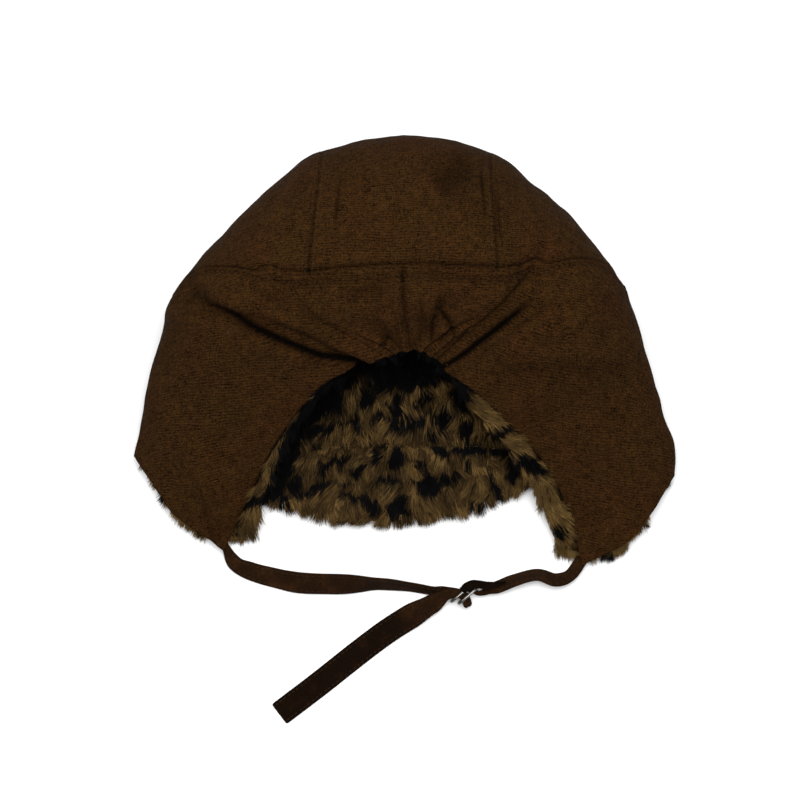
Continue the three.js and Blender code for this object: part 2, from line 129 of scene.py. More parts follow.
def on_table(table: tuple[tuple[float, float], ...], at: np.ndarray) -> np.ndarray:
    """Returns a table's second column at places along its first."""
    rows = np.array(table, dtype=float)
    return np.interp(at, rows[:, 0], rows[:, 1])


def run_along(points: np.ndarray) -> np.ndarray:
    """Returns the length of a path up to each of its points."""
    return np.concatenate(([0], np.cumsum(norms(np.diff(points, axis=0)))))


# Tables of the hat's form, the same as in the CAD source


@dataclass(frozen=True)
class Section:
    """One line across the hat: its start at the front seam, rim, back, edge, and the band's seam."""

    front: float
    rim: tuple[float, float, float]
    mid: tuple[float, float, float]
    edge: tuple[float, float, float]
    seam: float


SECTIONS = (
    Section(-90, (-154, -88, 10), (-136, -115, 16), (-103, -142, 8), -0.9),
    Section(-87.5, (-149, -64, 18), (-124, -87, 30), (-90, -114, 20), -0.8),
    Section(-84.5, (-143, -37, 28), (-111, -56, 48), (-72, -79, 40), -0.55),
    Section(-81, (-136, -14, 36), (-99, -30, 65), (-48, -50, 60), -0.3),
    Section(-77, (-133, -4, 40), (-87, -18, 75), (-29, -39, 69), -0.12),
    Section(-72.5, (-124, 12, 43), (-79, -7, 82), (-19, -36, 73), 0.08),
    Section(-66, (-98.5, 40.5, 45), (-74, 6.5, 85), (-13, -33, 75), 0.45),
    Section(-56, (-72, 66.5, 45), (-64, 11.5, 88.5), (-8, -32, 76), 0.53),
    Section(-42, (-46, 83.5, 45), (-53, 14.5, 92), (-4, -30, 77), BACK_SEAM),
    Section(4, (1, 92, 45), (-1, 18.5, 96), (3, -29.3, 78), BACK_SEAM),
    Section(42, (47, 83, 45), (50.5, 16.5, 93), (10, -30.5, 76.5), BACK_SEAM),
    Section(56, (71, 66, 45), (61, 14.5, 90), (15, -32.5, 75), 0.53),
    Section(66, (95, 45, 45), (71.5, 11.5, 86), (19.5, -36.5, 73), 0.46),
    Section(72, (119, 14, 43), (80, -6, 82), (25, -43, 69), 0.06),
    Section(76, (128, -4, 40), (91, -25, 71), (41, -53, 60), -0.2),
    Section(80, (137, -33, 32), (104, -49, 54), (64, -75, 43), -0.45),
    Section(83.5, (146, -63, 22), (120, -78, 36), (83, -98, 29), -0.7),
    Section(86, (153, -83, 15), (133, -101, 24), (94, -124, 16), -0.83),
    Section(88, (154, -99, 10), (135, -128, 16), (101, -151, 8), -0.9),
)
LAST = len(SECTIONS) - 1
STRIP_LEFT = 8
CENTRE = 9
STRIP_RIGHT = 10


@dataclass(frozen=True)
class Fold:
    """A broad dent or ridge: where along the sections, how wide, from where to where, and how deep."""

    section: float
    reach: float
    start: float
    stop: float
    deep: float


FOLDS = (
    Fold(4.35, 0.42, 0.02, 1.0, 6.0),
    Fold(5.35, 0.35, 0.1, 0.6, 2.5),
    Fold(9.55, 0.3, 0.62, 1.0, 3.5),
    Fold(10.1, 0.22, 0.66, 0.98, 2.5),
    Fold(11.9, 0.45, 0.3, 1.0, 5.0),
    Fold(13.1, 0.4, 0.35, 1.0, 3.0),
    Fold(14.6, 0.5, 0.3, 0.95, -2.0),
    Fold(1.0, 0.5, 0.1, 0.95, -2.2),
    Fold(10.4, 0.5, 0.08, 0.4, 1.8),
)
GATHER_FROM = 5.5
GATHER_TO = 13.0
GATHER_START = 0.7
GATHER_HEIGHT = 1.2


@dataclass(frozen=True)
class Crease:
    """A line in the back's cloth, from above: its points, width, depth, lip beside it and the painted
    shadow along its middle.
    """

    points: tuple[tuple[float, float], ...]
    width: float
    deep: float
    lip: float = 0.0
    core: float = 0.0


CREASES = (
    Crease(
        (
            (-126, -4), (-110, -6), (-99.6, -9.9), (-87.5, -16.6),
            (-74, -22.6), (-60.7, -28.7), (-47.2, -33.3), (-23, -38),
        ),
        2.4, 2.8, 1.6, 0.95,
    ),
    Crease(
        ((77.3, 1.6), (69, -2.6), (60, -9.9), (46.5, -20.6), (33.2, -31.4), (20, -39.5)),
        2.3, 3.2, 1.8, 1.0,
    ),
    Crease(((-122, 8.8), (-110.6, -2.7)), 4.0, 2.0),
    Crease(((19.7, 5.4), (18.6, -3.9), (15.3, -15.3), (14.3, -24.1)), 1.3, 2.2, 1.0, 0.55),
    Crease(((26.2, 9.2), (24.1, 0.5), (19.7, -7.1), (23.6, -13.7), (27.5, -21.8)), 1.3, 2.0, 1.0, 0.45),
    Crease(((-2.8, -7.8), (-3.9, -17.5), (-3.4, -27.4)), 2.2, 1.1),
    Crease(((8.7, -1.2), (9.8, -12.1), (9.3, -24.1)), 1.8, 1.5, 0.4),
    Crease(((-15.4, -11.0), (-10.5, -19.7), (-9.4, -28.5)), 2.6, 1.4, 0.4),
    Crease(((-35.6, 0.4), (-22.5, 2.0), (-7.2, 4.2)), 3.4, 1.3),
    Crease(((-117.3, -89.7), (-112.2, -112.4), (-105.6, -141.2)), 2.6, -2.3),
    Crease(((-116.0, -110.0), (-112.0, -126.0), (-108.6, -140.0)), 1.8, 0.9, 0.0, 0.3),
    Crease(((114.5, -112.0), (114.5, -127.0), (112.5, -143.0)), 2.8, -1.3),
    Crease(((35.9, -43.8), (63.5, -40.5), (96.9, -38.3), (131.3, -40.4)), 4.0, 1.2, 0.5),
    Crease(((52.5, -33.9), (74.4, -20.7), (102.2, -12.9), (119.5, -10.4)), 5.0, -1.6),
    Crease(((14.8, 59.8), (27.6, 67.2), (38.2, 77.0)), 8.0, 2.4),
    Crease(((-34.5, 78.5), (-37.2, 54.0), (-38.8, 18.9)), 0.9, 0.9, 0.4, 0.5),
    Crease(((41.7, 80.5), (42.8, 54.0), (43.6, 30.0)), 0.8, 0.9, 0.4, 0.65),
    Crease(((49.0, 72.0), (50.5, 52.0), (52.0, 33.0)), 0.8, 0.7, 0.3, 0.45),
    Crease(((-7.5, -22.0), (-14.0, -27.0)), 1.0, 0.8, 0.3, 0.5),
    Crease(((16.5, -27.5), (22.0, -22.0), (28.0, -17.5)), 1.0, 0.9, 0.4, 0.4),
)


@dataclass(frozen=True)
class Mark:
    """One dark mark of the fur's print or of painted shadow on the fur, from above: its middle, half sizes
    and turn in degrees.
    """

    x: float
    y: float
    wide: float
    high: float
    turn: float


MARKS = tuple(
    Mark(*row)
    for row in (
        (-48.4, -73.8, 7.9, 3.6, 0), (-34.3, -70.9, 6.4, 1.8, 0), (-27.9, -70.2, 2.6, 5.9, 0),
        (-22.2, -56.9, 3.8, 5.9, -25), (-15.2, -67.4, 3.3, 2.8, 0), (-4.7, -61.6, 3.6, 6.7, 5),
        (-1.7, -73.1, 7.0, 3.3, 0), (6.8, -70.2, 6.7, 3.1, 35), (19.6, -65.8, 7.4, 2.6, -12),
        (22.3, -72.2, 2.8, 5.9, 8), (16.8, -77.9, 3.8, 1.9, 0), (10.7, -56.9, 7.7, 2.3, 30),
        (31.5, -56.1, 4.9, 7.9, 25), (34.7, -73.8, 3.6, 5.9, 0), (-2.4, -46.6, 5.1, 4.3, 0),
        (-15.2, -46.9, 5.9, 6.1, 0), (-40.7, -59.7, 5.1, 7.7, -40), (3.4, -50.1, 3.3, 2.8, 0),
        (53.9, -75.3, 7.9, 2.8, 20), (-8.1, -69.9, 2.3, 3.8, 0), (37.3, -85.3, 10.7, 3.6, 3),
        (20.7, -86.6, 5.4, 3.1, -42), (55.2, -86.6, 6.7, 2.6, 5), (-16.7, -88.9, 2.0, 5.6, 8),
        (-4.7, -90.4, 4.6, 5.9, -10), (-40.7, -92.9, 8.7, 2.2, 20), (-27.9, -96.5, 3.6, 2.8, 0),
        (-47.8, -96.8, 2.6, 1.9, 0), (-50.7, -107.3, 6.7, 3.3, 25), (-63.5, -104.5, 4.6, 3.6, 0),
        (-8.8, -103.7, 6.9, 3.3, -8), (13.7, -106.0, 5.4, 7.9, -25), (26.4, -101.4, 6.7, 2.6, 12),
        (-27.9, -112.1, 11.0, 2.0, -14), (-18.7, -117.5, 5.9, 3.3, -20), (-3.6, -118.8, 6.9, 6.4, 0),
        (51.6, -106.4, 2.6, 6.9, 25), (61.8, -97.0, 3.3, 6.9, 0), (71.6, -94.2, 10.0, 4.3, -28),
        (42.4, -117.5, 5.6, 2.6, 10), (9.4, -94.2, 3.1, 1.9, 0), (-12.6, -82.7, 1.8, 1.8, 0),
        (-34.3, -104.5, 2.0, 1.5, 0), (88.7, -132.3, 6.1, 2.6, 0), (115.5, -147.0, 4.2, 3.6, 30),
        (-84.9, -114.9, 7.2, 3.3, 10), (20.7, -41.8, 7.7, 2.3, -30), (34.1, -48.8, 8.4, 2.8, -35),
        (-59.9, -112.1, 3.8, 2.3, -20), (5.3, -104.5, 2.0, 1.5, 0), (36.0, -94.2, 2.3, 1.5, 0),
        # The eight marks from (-34.3, -44.3) to (-68.2, -116.6) are painted shadow of the left wall inside
        # the hat, and the last two are painted shadow under the back edge.
        (-49.7, -84.0, 2.8, 1.3, 10), (-34.3, -44.3, 9.7, 6.4, 25), (-44.3, -52.3, 9.7, 6.9, 48),
        (-53.5, -62.9, 9.0, 6.7, 50), (-60.4, -74.4, 8.4, 5.9, 54), (-65.6, -85.9, 8.2, 5.4, 62),
        (-69.9, -97.4, 7.7, 5.1, 66), (-74.0, -108.5, 6.4, 4.9, 60), (-68.2, -116.6, 3.8, 2.6, 30),
        (2.0, -36.0, 34.0, 9.5, 0), (-1.0, -46.0, 22.0, 5.0, 0),
    )
)
BACKING_TIP = 0.35  # the backing is as dark as this share of a hair
BACKING_SHADE = 0.3
MARK_BLEED = 0.5  # the print spreads this far past a mark's size
PRINT_PITCH = 15.0  # between the marks that the photograph doesn't show
PRINT_SEEN = (-112.0, 132.0, -156.0, -40.0)  # the part of the print that MARKS covers

# How far the fur shows past the cloth along the back edge: section, distance
FUR_RIM = (
    (0, 1), (0.5, 17), (1, 12), (2, 6), (3.6, 2.5), (5, 1),
    (13, 1), (14, 12), (15.5, 18.5), (17.4, 17), (18, 1),
)

# How far the visor's fur reaches below the front seam: x, distance
VISOR = (
    (-89, 3), (-82, 22.5), (-64, 34.3), (-39, 43.8), (-11, 46.6),
    (12, 43.8), (42, 36), (60, 27), (75, 15), (87, 3),
)


@dataclass(frozen=True)
class StrapRow:
    """One place on a strap: where, the height of its lower side, its share of the full width, its roll."""

    x: float
    y: float
    lift: float
    wide: float
    roll: float


STRAP_LONG = tuple(
    StrapRow(*row)
    for row in (
        (-103.2, -138.5, 4.6, 0.3, 0), (-97, -149.5, 1.6, 0.62, 8), (-88, -154, 0.2, 0.75, 10),
        (-75, -157.6, 0.1, 0.85, 18), (-61, -160.4, 0.1, 0.92, 22), (-41, -161.2, 0.3, 0.95, 27),
        (-13.7, -161, 0.1, 0.95, 58), (3.5, -162.8, 0.1, 0.8, 64), (16, -165, 0.5, 0.55, 50),
        (25, -165.6, 2, 0.38, 6), (31.7, -166.8, 2.5, 0.36, 0), (34.4, -168.8, 2.5, 0.38, 0),
        (35.8, -172.4, 2.9, 0.36, 0), (36.2, -173.6, 4.4, 0.22, 0), (35.8, -172.8, 6.0, 0.36, 0),
        (34.4, -169.2, 6.3, 0.38, 0), (31.4, -166.9, 6.4, 0.34, 0), (25, -166.9, 6.3, 0.4, 0),
        (15.5, -172.6, 4.2, 0.78, 0), (3, -180, 1.8, 1, 0), (-10.2, -188.5, 0.5, 1, 0),
        (-25.1, -199.6, 0.1, 1, 0), (-49.7, -219, 0.1, 1, 0), (-72.1, -236, 0.1, 1, 0),
    )
)
STRAP_SHORT = tuple(
    StrapRow(*row)
    for row in (
        (101.5, -146.5, 4.6, 0.5, 0), (94, -156.5, 2, 0.55, 30), (86.3, -158.9, 0.2, 0.75, 52),
        (76, -155.9, 0.1, 0.8, 58), (62.9, -159.0, 0.1, 0.75, 55), (54, -162.6, 0.1, 0.62, 44),
        (47, -165.0, 3.6, 0.32, 6), (42.5, -166.4, 4.35, 0.2, 0), (38.5, -164.9, 4.35, 0.16, 0),
        (34.4, -164.3, 4.35, 0.16, 0), (31.3, -164.2, 4.35, 0.16, 0),
    )
)
STRAP_TURN = tuple(
    StrapRow(*row)
    for row in (
        (57.5, -159.6, 7.0, 0.08, 20), (52.0, -160.8, 7.4, 0.2, 16), (47.5, -161.6, 8.2, 0.3, 8),
        (43.0, -161.2, 10.6, 0.34, 0), (38.6, -161.0, 11.8, 0.36, 0), (34.8, -162.6, 11.6, 0.34, 0),
        (32.8, -165.2, 10.2, 0.24, 0),
    )
)


FREE_END = (-160.0, -128.0)  # x + 0.8 y where the free end is darkest, and where it is no darker
BELOW_BUCKLE = (168.0, 176.0)  # -y between which the free end's shade comes in
STRAP_STITCH = (1.1, 0.2, 0.16)  # half sizes of one stitch


class Slot(Enum):
    """The record's material slots."""

    CLOTH = "cloth"
    FUR = "fur"
    STRAP = "strap"
    RING = "ring"


# Shaders


class Value:
    """A number in a shader, whose expressions add Math nodes."""

    def __init__(self, paint: "Paint", socket: bpy.types.NodeSocket) -> None:
        """Wraps an output socket of the paint's nodes."""
        self.paint = paint
        self.socket = socket

    def _math(self, operation: str, *others: "Value | float") -> "Value":
        """Adds a Math node on this value and the others."""
        inputs = {n: other for n, other in enumerate((self, *others))}
        node = self.paint.node("ShaderNodeMath", {"operation": operation}, inputs)
        return Value(self.paint, node.outputs[0])

    def __add__(self, other: "Value | float") -> "Value":
        """Returns self + other."""
        return self._math("ADD", other)

    __radd__ = __add__

    def __mul__(self, other: "Value | float") -> "Value":
        """Returns self * other."""
        return self._math("MULTIPLY", other)

    def __sub__(self, other: "Value | float") -> "Value":
        """Returns self - other."""
        return self._math("SUBTRACT", other)

    def __rsub__(self, other: float) -> "Value":
        """Returns other - self."""
        return (self * -1.0) + other

    def waves(self, pitch: float) -> "Value":
        """Returns a wave from 0 to 1 that repeats at every pitch."""
        turned = self * (2 * math.pi / pitch)
        return turned._math("SINE") * 0.5 + 0.5

    def between(self, low: float, high: float) -> "Value":
        """Returns 0 below low, 1 above high and a smooth rise between them."""
        settings = {"interpolation_type": "SMOOTHSTEP", "clamp": True}
        node = self.paint.node("ShaderNodeMapRange", settings, {0: self, 1: low, 2: high, 3: 0.0, 4: 1.0})
        return Value(self.paint, node.outputs[0])


Colour = tuple[float, float, float, float]


def srgb(red: int, green: int, blue: int) -> Colour:
    """Returns the linear colour of an 8-bit sRGB one."""

    def linear(level: int) -> float:
        """Returns the linear value of one channel."""
        share = level / 255
        return share / 12.92 if share <= 0.04045 else ((share + 0.055) / 1.055) ** 2.4

    return (linear(red), linear(green), linear(blue), 1.0)


class Paint:
    """One material and its nodes."""

    def __init__(self, name: str) -> None:
        """Starts a material with a plain surface shader."""
        self.material = bpy.data.materials.new(name)
        self.material.use_nodes = True
        self.tree = self.material.node_tree
        self.surface = self.tree.nodes["Principled BSDF"]

    def node(self, kind: str, settings: dict, inputs: dict) -> bpy.types.Node:
        """Adds a node.

        Args:
            kind: The node's type.
            settings: Its properties, set first.
            inputs: Values or links, by socket name or index.

        Returns:
            The node.
        """
        node = self.tree.nodes.new(kind)
        for key, value in settings.items():
            setattr(node, key, value)
        for key, value in inputs.items():
            self.feed(node.inputs[key], value)
        return node

    def feed(self, target: bpy.types.NodeSocket, value: object) -> None:
        """Links a value into a socket, or sets it there."""
        if isinstance(value, Value):
            self.tree.links.new(value.socket, target)
        elif isinstance(value, bpy.types.NodeSocket):
            self.tree.links.new(value, target)
        else:
            target.default_value = value

    def places(self) -> bpy.types.NodeSocket:
        """Returns the object's own coordinates."""
        return self.node("ShaderNodeTexCoord", {}, {}).outputs["Object"]

    def attribute(self, name: str) -> Value:
        """Returns a number kept on the mesh."""
        node = self.node("ShaderNodeAttribute", {"attribute_name": name}, {})
        return Value(self, node.outputs["Fac"])

    def noise(self, scale: float, detail: float = 2.0, rough: float = 0.5) -> Value:
        """Returns soft noise with so many waves in a metre."""
        inputs = {"Vector": self.places(), "Scale": scale, "Detail": detail, "Roughness": rough}
        return Value(self, self.node("ShaderNodeTexNoise", {}, inputs).outputs[0])

    def woven(self, pattern: bpy.types.NodeSocket, scale: tuple[float, float], detail: float) -> Value:
        """Returns noise drawn out along the threads, on the cloth's own places."""
        inputs = {"Vector": pattern, "Scale": (*scale, 1.0)}
        spread = self.node("ShaderNodeMapping", {"vector_type": "POINT"}, inputs)
        inputs = {"Vector": spread.outputs[0], "Scale": 1.0, "Detail": detail, "Roughness": 0.6}
        return Value(self, self.node("ShaderNodeTexNoise", {}, inputs).outputs[0])

    def specks(self, scale: float) -> Value:
        """Returns the distance to the nearest of scattered points."""
        inputs = {"Vector": self.places(), "Scale": scale}
        return Value(self, self.node("ShaderNodeTexVoronoi", {}, inputs).outputs["Distance"])

    def blend(
        self, share: "Value | float", low: object, high: object, kind: str = "MIX"
    ) -> bpy.types.NodeSocket:
        """Mixes two colours by a share."""
        settings = {"data_type": "RGBA", "blend_type": kind}
        node = self.node("ShaderNodeMix", settings, {0: share, 6: low, 7: high})
        return node.outputs[2]

    def shaded(self, colour: object, light: Value) -> bpy.types.NodeSocket:
        """Multiplies a colour by a brightness."""
        grey = self.node("ShaderNodeCombineColor", {}, {0: light, 1: light, 2: light})
        return self.blend(1.0, colour, grey.outputs[0], "MULTIPLY")

    def cloth_places(self) -> tuple[bpy.types.NodeSocket, Value, Value]:
        """Returns the place on the cloth, and its parts across and along it."""
        pattern = self.node("ShaderNodeUVMap", {"uv_map": "cloth"}, {}).outputs[0]
        parts = self.node("ShaderNodeSeparateXYZ", {}, {0: pattern})
        return pattern, Value(self, parts.outputs[0]), Value(self, parts.outputs[1])

    def coat(self, colour: object, rough: "Value | float", gloss: float = 0.5, metal: float = 0.0) -> None:
        """Sets the surface's colour, roughness, gloss and metal."""
        levels = {"Base Color": colour, "Roughness": rough, "Specular IOR Level": gloss, "Metallic": metal}
        for name, level in levels.items():
            self.feed(self.surface.inputs[name], level)

    def bump(self, height: Value, strength: float, distance: float) -> None:
        """Roughens the surface by a height, whose full range is distance metres."""
        inputs = {"Strength": strength, "Distance": distance, "Height": height}
        node = self.node("ShaderNodeBump", {}, inputs)
        self.feed(self.surface.inputs["Normal"], node.outputs[0])


@dataclass(frozen=True)
class BrushedCotton:
    """Brown brushed cotton: fine ribs, nap, mottled dye, a little lint and painted shade in its seams and
    creases.
    """

    name: str
    ground: Colour = srgb(41, 25, 8)
    warm: Colour = srgb(42, 24, 8)
    lint: Colour = srgb(84, 62, 40)
    rib_pitch: float = 1.6 * MM
    thread_pitch: float = 0.62 * MM
    wander: float = 2.2 * MM

    def material(self) -> bpy.types.Material:
        """Builds the finish."""
        paint = Paint(self.name)
        pattern, across, along = paint.cloth_places()
        wander = paint.noise(55.0, 2.0) * self.wander
        ribs = (along + wander).waves(self.rib_pitch)
        threads = (across + wander).waves(self.thread_pitch)
        patches = paint.noise(26.0, 4.0, 0.65).between(0.4, 0.64)
        blotches = paint.noise(120.0, 4.0, 0.65)
        nap = paint.noise(800.0, 3.0, 0.75).between(0.34, 0.66)
        grain = paint.noise(1600.0, 2.0, 0.7).between(0.32, 0.68)
        streaks = paint.woven(pattern, (220.0, 1000.0), 3.0).between(0.36, 0.64)
        uprights = paint.woven(pattern, (900.0, 160.0), 2.0).between(0.36, 0.64)
        crease = paint.attribute("crease")
        ground = paint.blend(patches, self.ground, self.warm)
        light = (blotches - 0.5) * 1.1 + (nap - 0.5) * 0.7 + (grain - 0.5) * 0.7
        light = light + (streaks - 0.5) * 0.5 + (uprights - 0.5) * 0.25 + (ribs - 0.5) * 0.42
        # The crease attribute darkens the colour: painted shade in seams, stitch dents, hem and creases.
        colour = paint.shaded(ground, (1.0 + light) * (1.0 - crease * 0.96))
        lint = 1.0 - paint.specks(240.0).between(0.04, 0.1)
        colour = paint.blend(lint * paint.noise(60.0).between(0.54, 0.64) * 0.5, colour, self.lint)
        paint.coat(colour, 0.9 + nap * 0.1, gloss=0.03)
        height = ribs * 0.4 + threads * 0.12 + nap * 0.4 + grain * 0.3 + streaks * 0.3
        paint.bump(height, 0.6, 0.3 * MM)
        return paint.material


@dataclass(frozen=True)
class PrintedFur:
    """Short plush with a leopard print: a mark's darkness, the place along a hair and its lock's shade.
    Some marks are painted shadow, and the darker roots are partly painted shade.
    """

    name: str
    ground: Colour = srgb(36, 24, 8)
    light: Colour = srgb(108, 84, 47)
    # The black of the print, also used for the painted shadow marks.
    dark: Colour = srgb(3, 3, 3)
    # The roots' colour: partly the underfur's own darker colour, partly painted shade between the hairs.
    under: Colour = srgb(16, 11, 5)

    def material(self) -> bpy.types.Material:
        """Builds the finish."""
        paint = Paint(self.name)
        spot = paint.attribute("spot")
        tip = paint.attribute("tip")
        shade = paint.attribute("shade")
        tan = paint.blend(shade, self.ground, self.light)
        # Towards the root each hair takes the under colour, partly painted shade.
        tan = paint.blend(tip.between(0.0, 0.7), self.under, tan)
        brindle = paint.noise(110.0, 3.0).between(0.36, 0.64)
        tan = paint.shaded(tan, 0.56 + brindle * 0.48)
        colour = paint.blend(spot, tan, self.dark)
        paint.coat(colour, 0.75, gloss=0.06)
        return paint.material


@dataclass(frozen=True)
class StrapCloth:
    """The darker, closer cloth of the chin strap."""

    name: str
    ground: Colour = srgb(30, 16, 5)
    worn: Colour = srgb(41, 23, 8)
    twill_pitch: float = 0.9 * MM

    def material(self) -> bpy.types.Material:
        """Builds the finish."""
        paint = Paint(self.name)
        _, across, along = paint.cloth_places()
        twill = (across + along).waves(self.twill_pitch)
        nap = paint.noise(700.0, 3.0, 0.7)
        blotches = paint.noise(120.0, 3.0, 0.6)
        colour = paint.blend(blotches.between(0.45, 0.75), self.ground, self.worn)
        light = 0.5 + nap.between(0.35, 0.65) * 0.45 + blotches * 0.3 + twill * 0.12
        # The crease attribute darkens the strap: its free end below the buckle, and the painted shadow of
        # the loop over the buckle.
        colour = paint.shaded(colour, light * (1.0 - paint.attribute("crease")))
        paint.coat(colour, 0.86 + nap * 0.12, gloss=0.05)
        paint.bump(twill * 0.5 + nap * 0.7, 0.5, 0.3 * MM)
        return paint.material


@dataclass(frozen=True)
class SewingThread:
    """Brown polyester thread."""

    name: str
    colour: Colour = srgb(56, 37, 18)

    def material(self) -> bpy.types.Material:
        """Builds the finish."""
        paint = Paint(self.name)
        fleck = paint.noise(900.0, 2.0)
        paint.coat(paint.shaded(self.colour, 0.6 + fleck * 0.8), 0.8, gloss=0.08)
        paint.bump(fleck, 0.3, 0.1 * MM)
        return paint.material


@dataclass(frozen=True)
class NickelWire:
    """Nickel-plated steel wire with fine handling marks."""

    name: str
    bright: Colour = srgb(112, 110, 106)
    dull: Colour = srgb(92, 90, 86)

    def material(self) -> bpy.types.Material:
        """Builds the finish."""
        paint = Paint(self.name)
        marks = paint.noise(900.0, 3.0, 0.6)
        colour = paint.blend(marks.between(0.5, 0.8), self.bright, self.dull)
        paint.coat(colour, 0.14 + marks * 0.22, metal=1.0)
        paint.bump(marks, 0.15, 0.05 * MM)
        return paint.material


def made(finish: type, *details: object) -> bpy.types.Material:
    """Returns a field that builds a finish's material with each new set of finishes."""
    return field(default_factory=lambda: finish(*details).material())


@dataclass
class Finishes:
    """The materials of the hat, one for each kind of surface."""

    cotton: bpy.types.Material = made(BrushedCotton, "brushed_cotton")
    fur: bpy.types.Material = made(PrintedFur, "printed_fur")
    strap: bpy.types.Material = made(StrapCloth, "strap_cloth")
    thread: bpy.types.Material = made(SewingThread, "sewing_thread")
    dark_thread: bpy.types.Material = made(SewingThread, "dark_thread", srgb(48, 33, 19))
    nickel: bpy.types.Material = made(NickelWire, "nickel_wire")


# Mesh helpers


def place_vertices(mesh: bpy.types.Mesh, points: np.ndarray) -> None:
    """Moves a mesh's vertices to places in millimetres."""
    mesh.vertices.foreach_set("co", (points * MM).astype(np.float32).ravel())
    mesh.update()


def keep_numbers(mesh: bpy.types.Mesh, name: str, values: np.ndarray) -> None:
    """Keeps one number for each vertex as an attribute."""
    layer = mesh.attributes.new(name, "FLOAT", "POINT")
    layer.data.foreach_set("value", values.astype(np.float32))


def keep_fur(mesh: bpy.types.Mesh, spot: np.ndarray, tip: object, shade: object) -> None:
    """Keeps what the fur's finish reads: the print, the place along a hair and its lock's shade."""
    for name, values in (("spot", spot), ("tip", tip), ("shade", shade)):
        keep_numbers(mesh, name, values + np.zeros(len(spot)))


def corner_vertices(mesh: bpy.types.Mesh) -> np.ndarray:
    """Returns the vertex of each corner of the faces."""
    corners = np.empty(len(mesh.loops), dtype=np.int32)
    mesh.loops.foreach_get("vertex_index", corners)
    return corners


def keep_pattern(mesh: bpy.types.Mesh, places: np.ndarray) -> None:
    """Keeps a place on the cloth, in metres, for each vertex as the UV map called cloth."""
    layer = mesh.uv_layers.new(name="cloth")
    layer.data.foreach_set("uv", places[corner_vertices(mesh)].astype(np.float32).ravel())


def vertex_places(mesh: bpy.types.Mesh) -> np.ndarray:
    """Returns the place of each vertex."""
    flat = np.empty(len(mesh.vertices) * 3, dtype=np.float32)
    mesh.vertices.foreach_get("co", flat)
    return flat.reshape(-1, 3)


def object_from(
    shape: bmesh.types.BMesh, name: str, finish: bpy.types.Material | None = None
) -> bpy.types.Object:
    """Turns a bmesh into a smooth object in the scene, and frees it."""
    mesh = bpy.data.meshes.new(name)
    shape.to_mesh(mesh)
    shape.free()
    mesh.polygons.foreach_set("use_smooth", np.ones(len(mesh.polygons), dtype=bool))
    if finish:
        mesh.materials.append(finish)
    piece = bpy.data.objects.new(name, mesh)
    bpy.context.scene.collection.objects.link(piece)
    return piece


def add_stitch(
    shape: bmesh.types.BMesh,
    middle: Vector,
    axes: tuple[Vector, Vector, Vector],
    half: tuple[float, float, float],
) -> None:
    """Adds one small capsule, given by its middle, axes and half sizes in millimetres."""
    turn = Matrix(axes).transposed().to_4x4()
    size = Matrix.Diagonal((half[0] * MM, half[1] * MM, half[2] * MM, 1))
    place = Matrix.Translation(middle * MM) @ turn @ size
    bmesh.ops.create_uvsphere(shape, u_segments=6, v_segments=4, radius=1, matrix=place)


def finish_piece(piece: bpy.types.Object, slot: Slot, *nodes: str) -> None:
    """Joins a piece to the frame: it rides on the body and stands for nodes; its slot is not used."""
    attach(piece, "root")
    if nodes:
        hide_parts(*nodes)
    log.info("built %s: %d faces", piece.name, len(piece.data.polygons))


def grid_object(name: str, columns: int, rows: int) -> tuple[bpy.types.Object, np.ndarray, np.ndarray]:
    """Makes a flat grid whose vertices know their column and row.

    Args:
        name: The object's name.
        columns: Cells across.
        rows: Cells along.

    Returns:
        The object, and each vertex's share across and along, from 0 to 1.
    """
    shape = bmesh.new()
    bmesh.ops.create_grid(shape, x_segments=columns, y_segments=rows, size=0.5)
    piece = object_from(shape, name)
    share = np.clip(vertex_places(piece.data).astype(float) + 0.5, 0, 1)
    return piece, share[:, 0], share[:, 1]


def thicken(piece: bpy.types.Object, thickness: float, offset: float = -1.0) -> None:
    """Gives a sheet its thickness in millimetres, inwards unless offset says otherwise."""
    wall = piece.modifiers.new("wall", "SOLIDIFY")
    wall.thickness = thickness * MM
    wall.offset = offset
    wall.use_even_offset = False


# The form of the hat


SLOPE_STEP = 0.002  # for the slopes of the face
FOLD_FADES = (0.25, 0.15)  # where a broad fold starts and where it stops
SEAM_GROOVE = 0.9  # half width of the line between two panels
SEAM_PUFF = 3.4  # from a seam to the middle of the raised cloth beside it
PUFF_WIDTH = 1.8
STITCH_DENT = 0.6  # half width of the dent under a row of stitches
SEAM_STITCH = 2.0  # rows of stitches on each side of a seam
SECOND_ROW = 7.2  # from the band's seam to its top stitching
HEM = 2.6  # row of stitches along the turned edge
WAVES = (
    ((0.8, 0.6, 0.2), 37.0, 0.35),
    ((-0.5, 0.8, 0.4), 23.0, 0.25),
    ((0.2, -0.9, 0.6), 15.0, 0.14),
    ((0.9, 0.1, -0.5), 9.0, 0.07),
)


def line_distance(
    places: np.ndarray, points: tuple[tuple[float, float], ...]
) -> tuple[np.ndarray, np.ndarray, np.ndarray]:
    """Measures places in the plan against a line.

    Args:
        places: Plan coordinates, one row each.
        points: The line's points.

    Returns:
        The distance, the signed distance to the line's left, and the share of the line's length.
    """
    best = np.full(len(places), 1e9)
    side = np.zeros(len(places))
    along = np.zeros(len(places))
    ends = np.array(points, dtype=float)
    lengths = norms(np.diff(ends, axis=0))
    total = lengths.sum()
    done = 0.0
    for start, stop, length in zip(ends[:-1], ends[1:], lengths):
        ahead = (stop - start) / length
        offset = places - start
        t = np.clip(offset @ ahead, 0, length)
        gap = offset - t[:, None] * ahead
        distance = norms(gap)
        left = offset[:, 1] * ahead[0] - offset[:, 0] * ahead[1]
        nearer = distance < best
        best = np.where(nearer, distance, best)
        side = np.where(nearer, np.sign(left) * distance, side)
        along = np.where(nearer, done + t, along)
        done += length
    return best, side, along / total


def front_seam(x: np.ndarray) -> np.ndarray:
    """Returns how far forward the crown's front seam lies on the floor."""
    return FRONT_SEAM_Y - FRONT_SEAM_BOW * (x / TEMPLE_X) ** 4


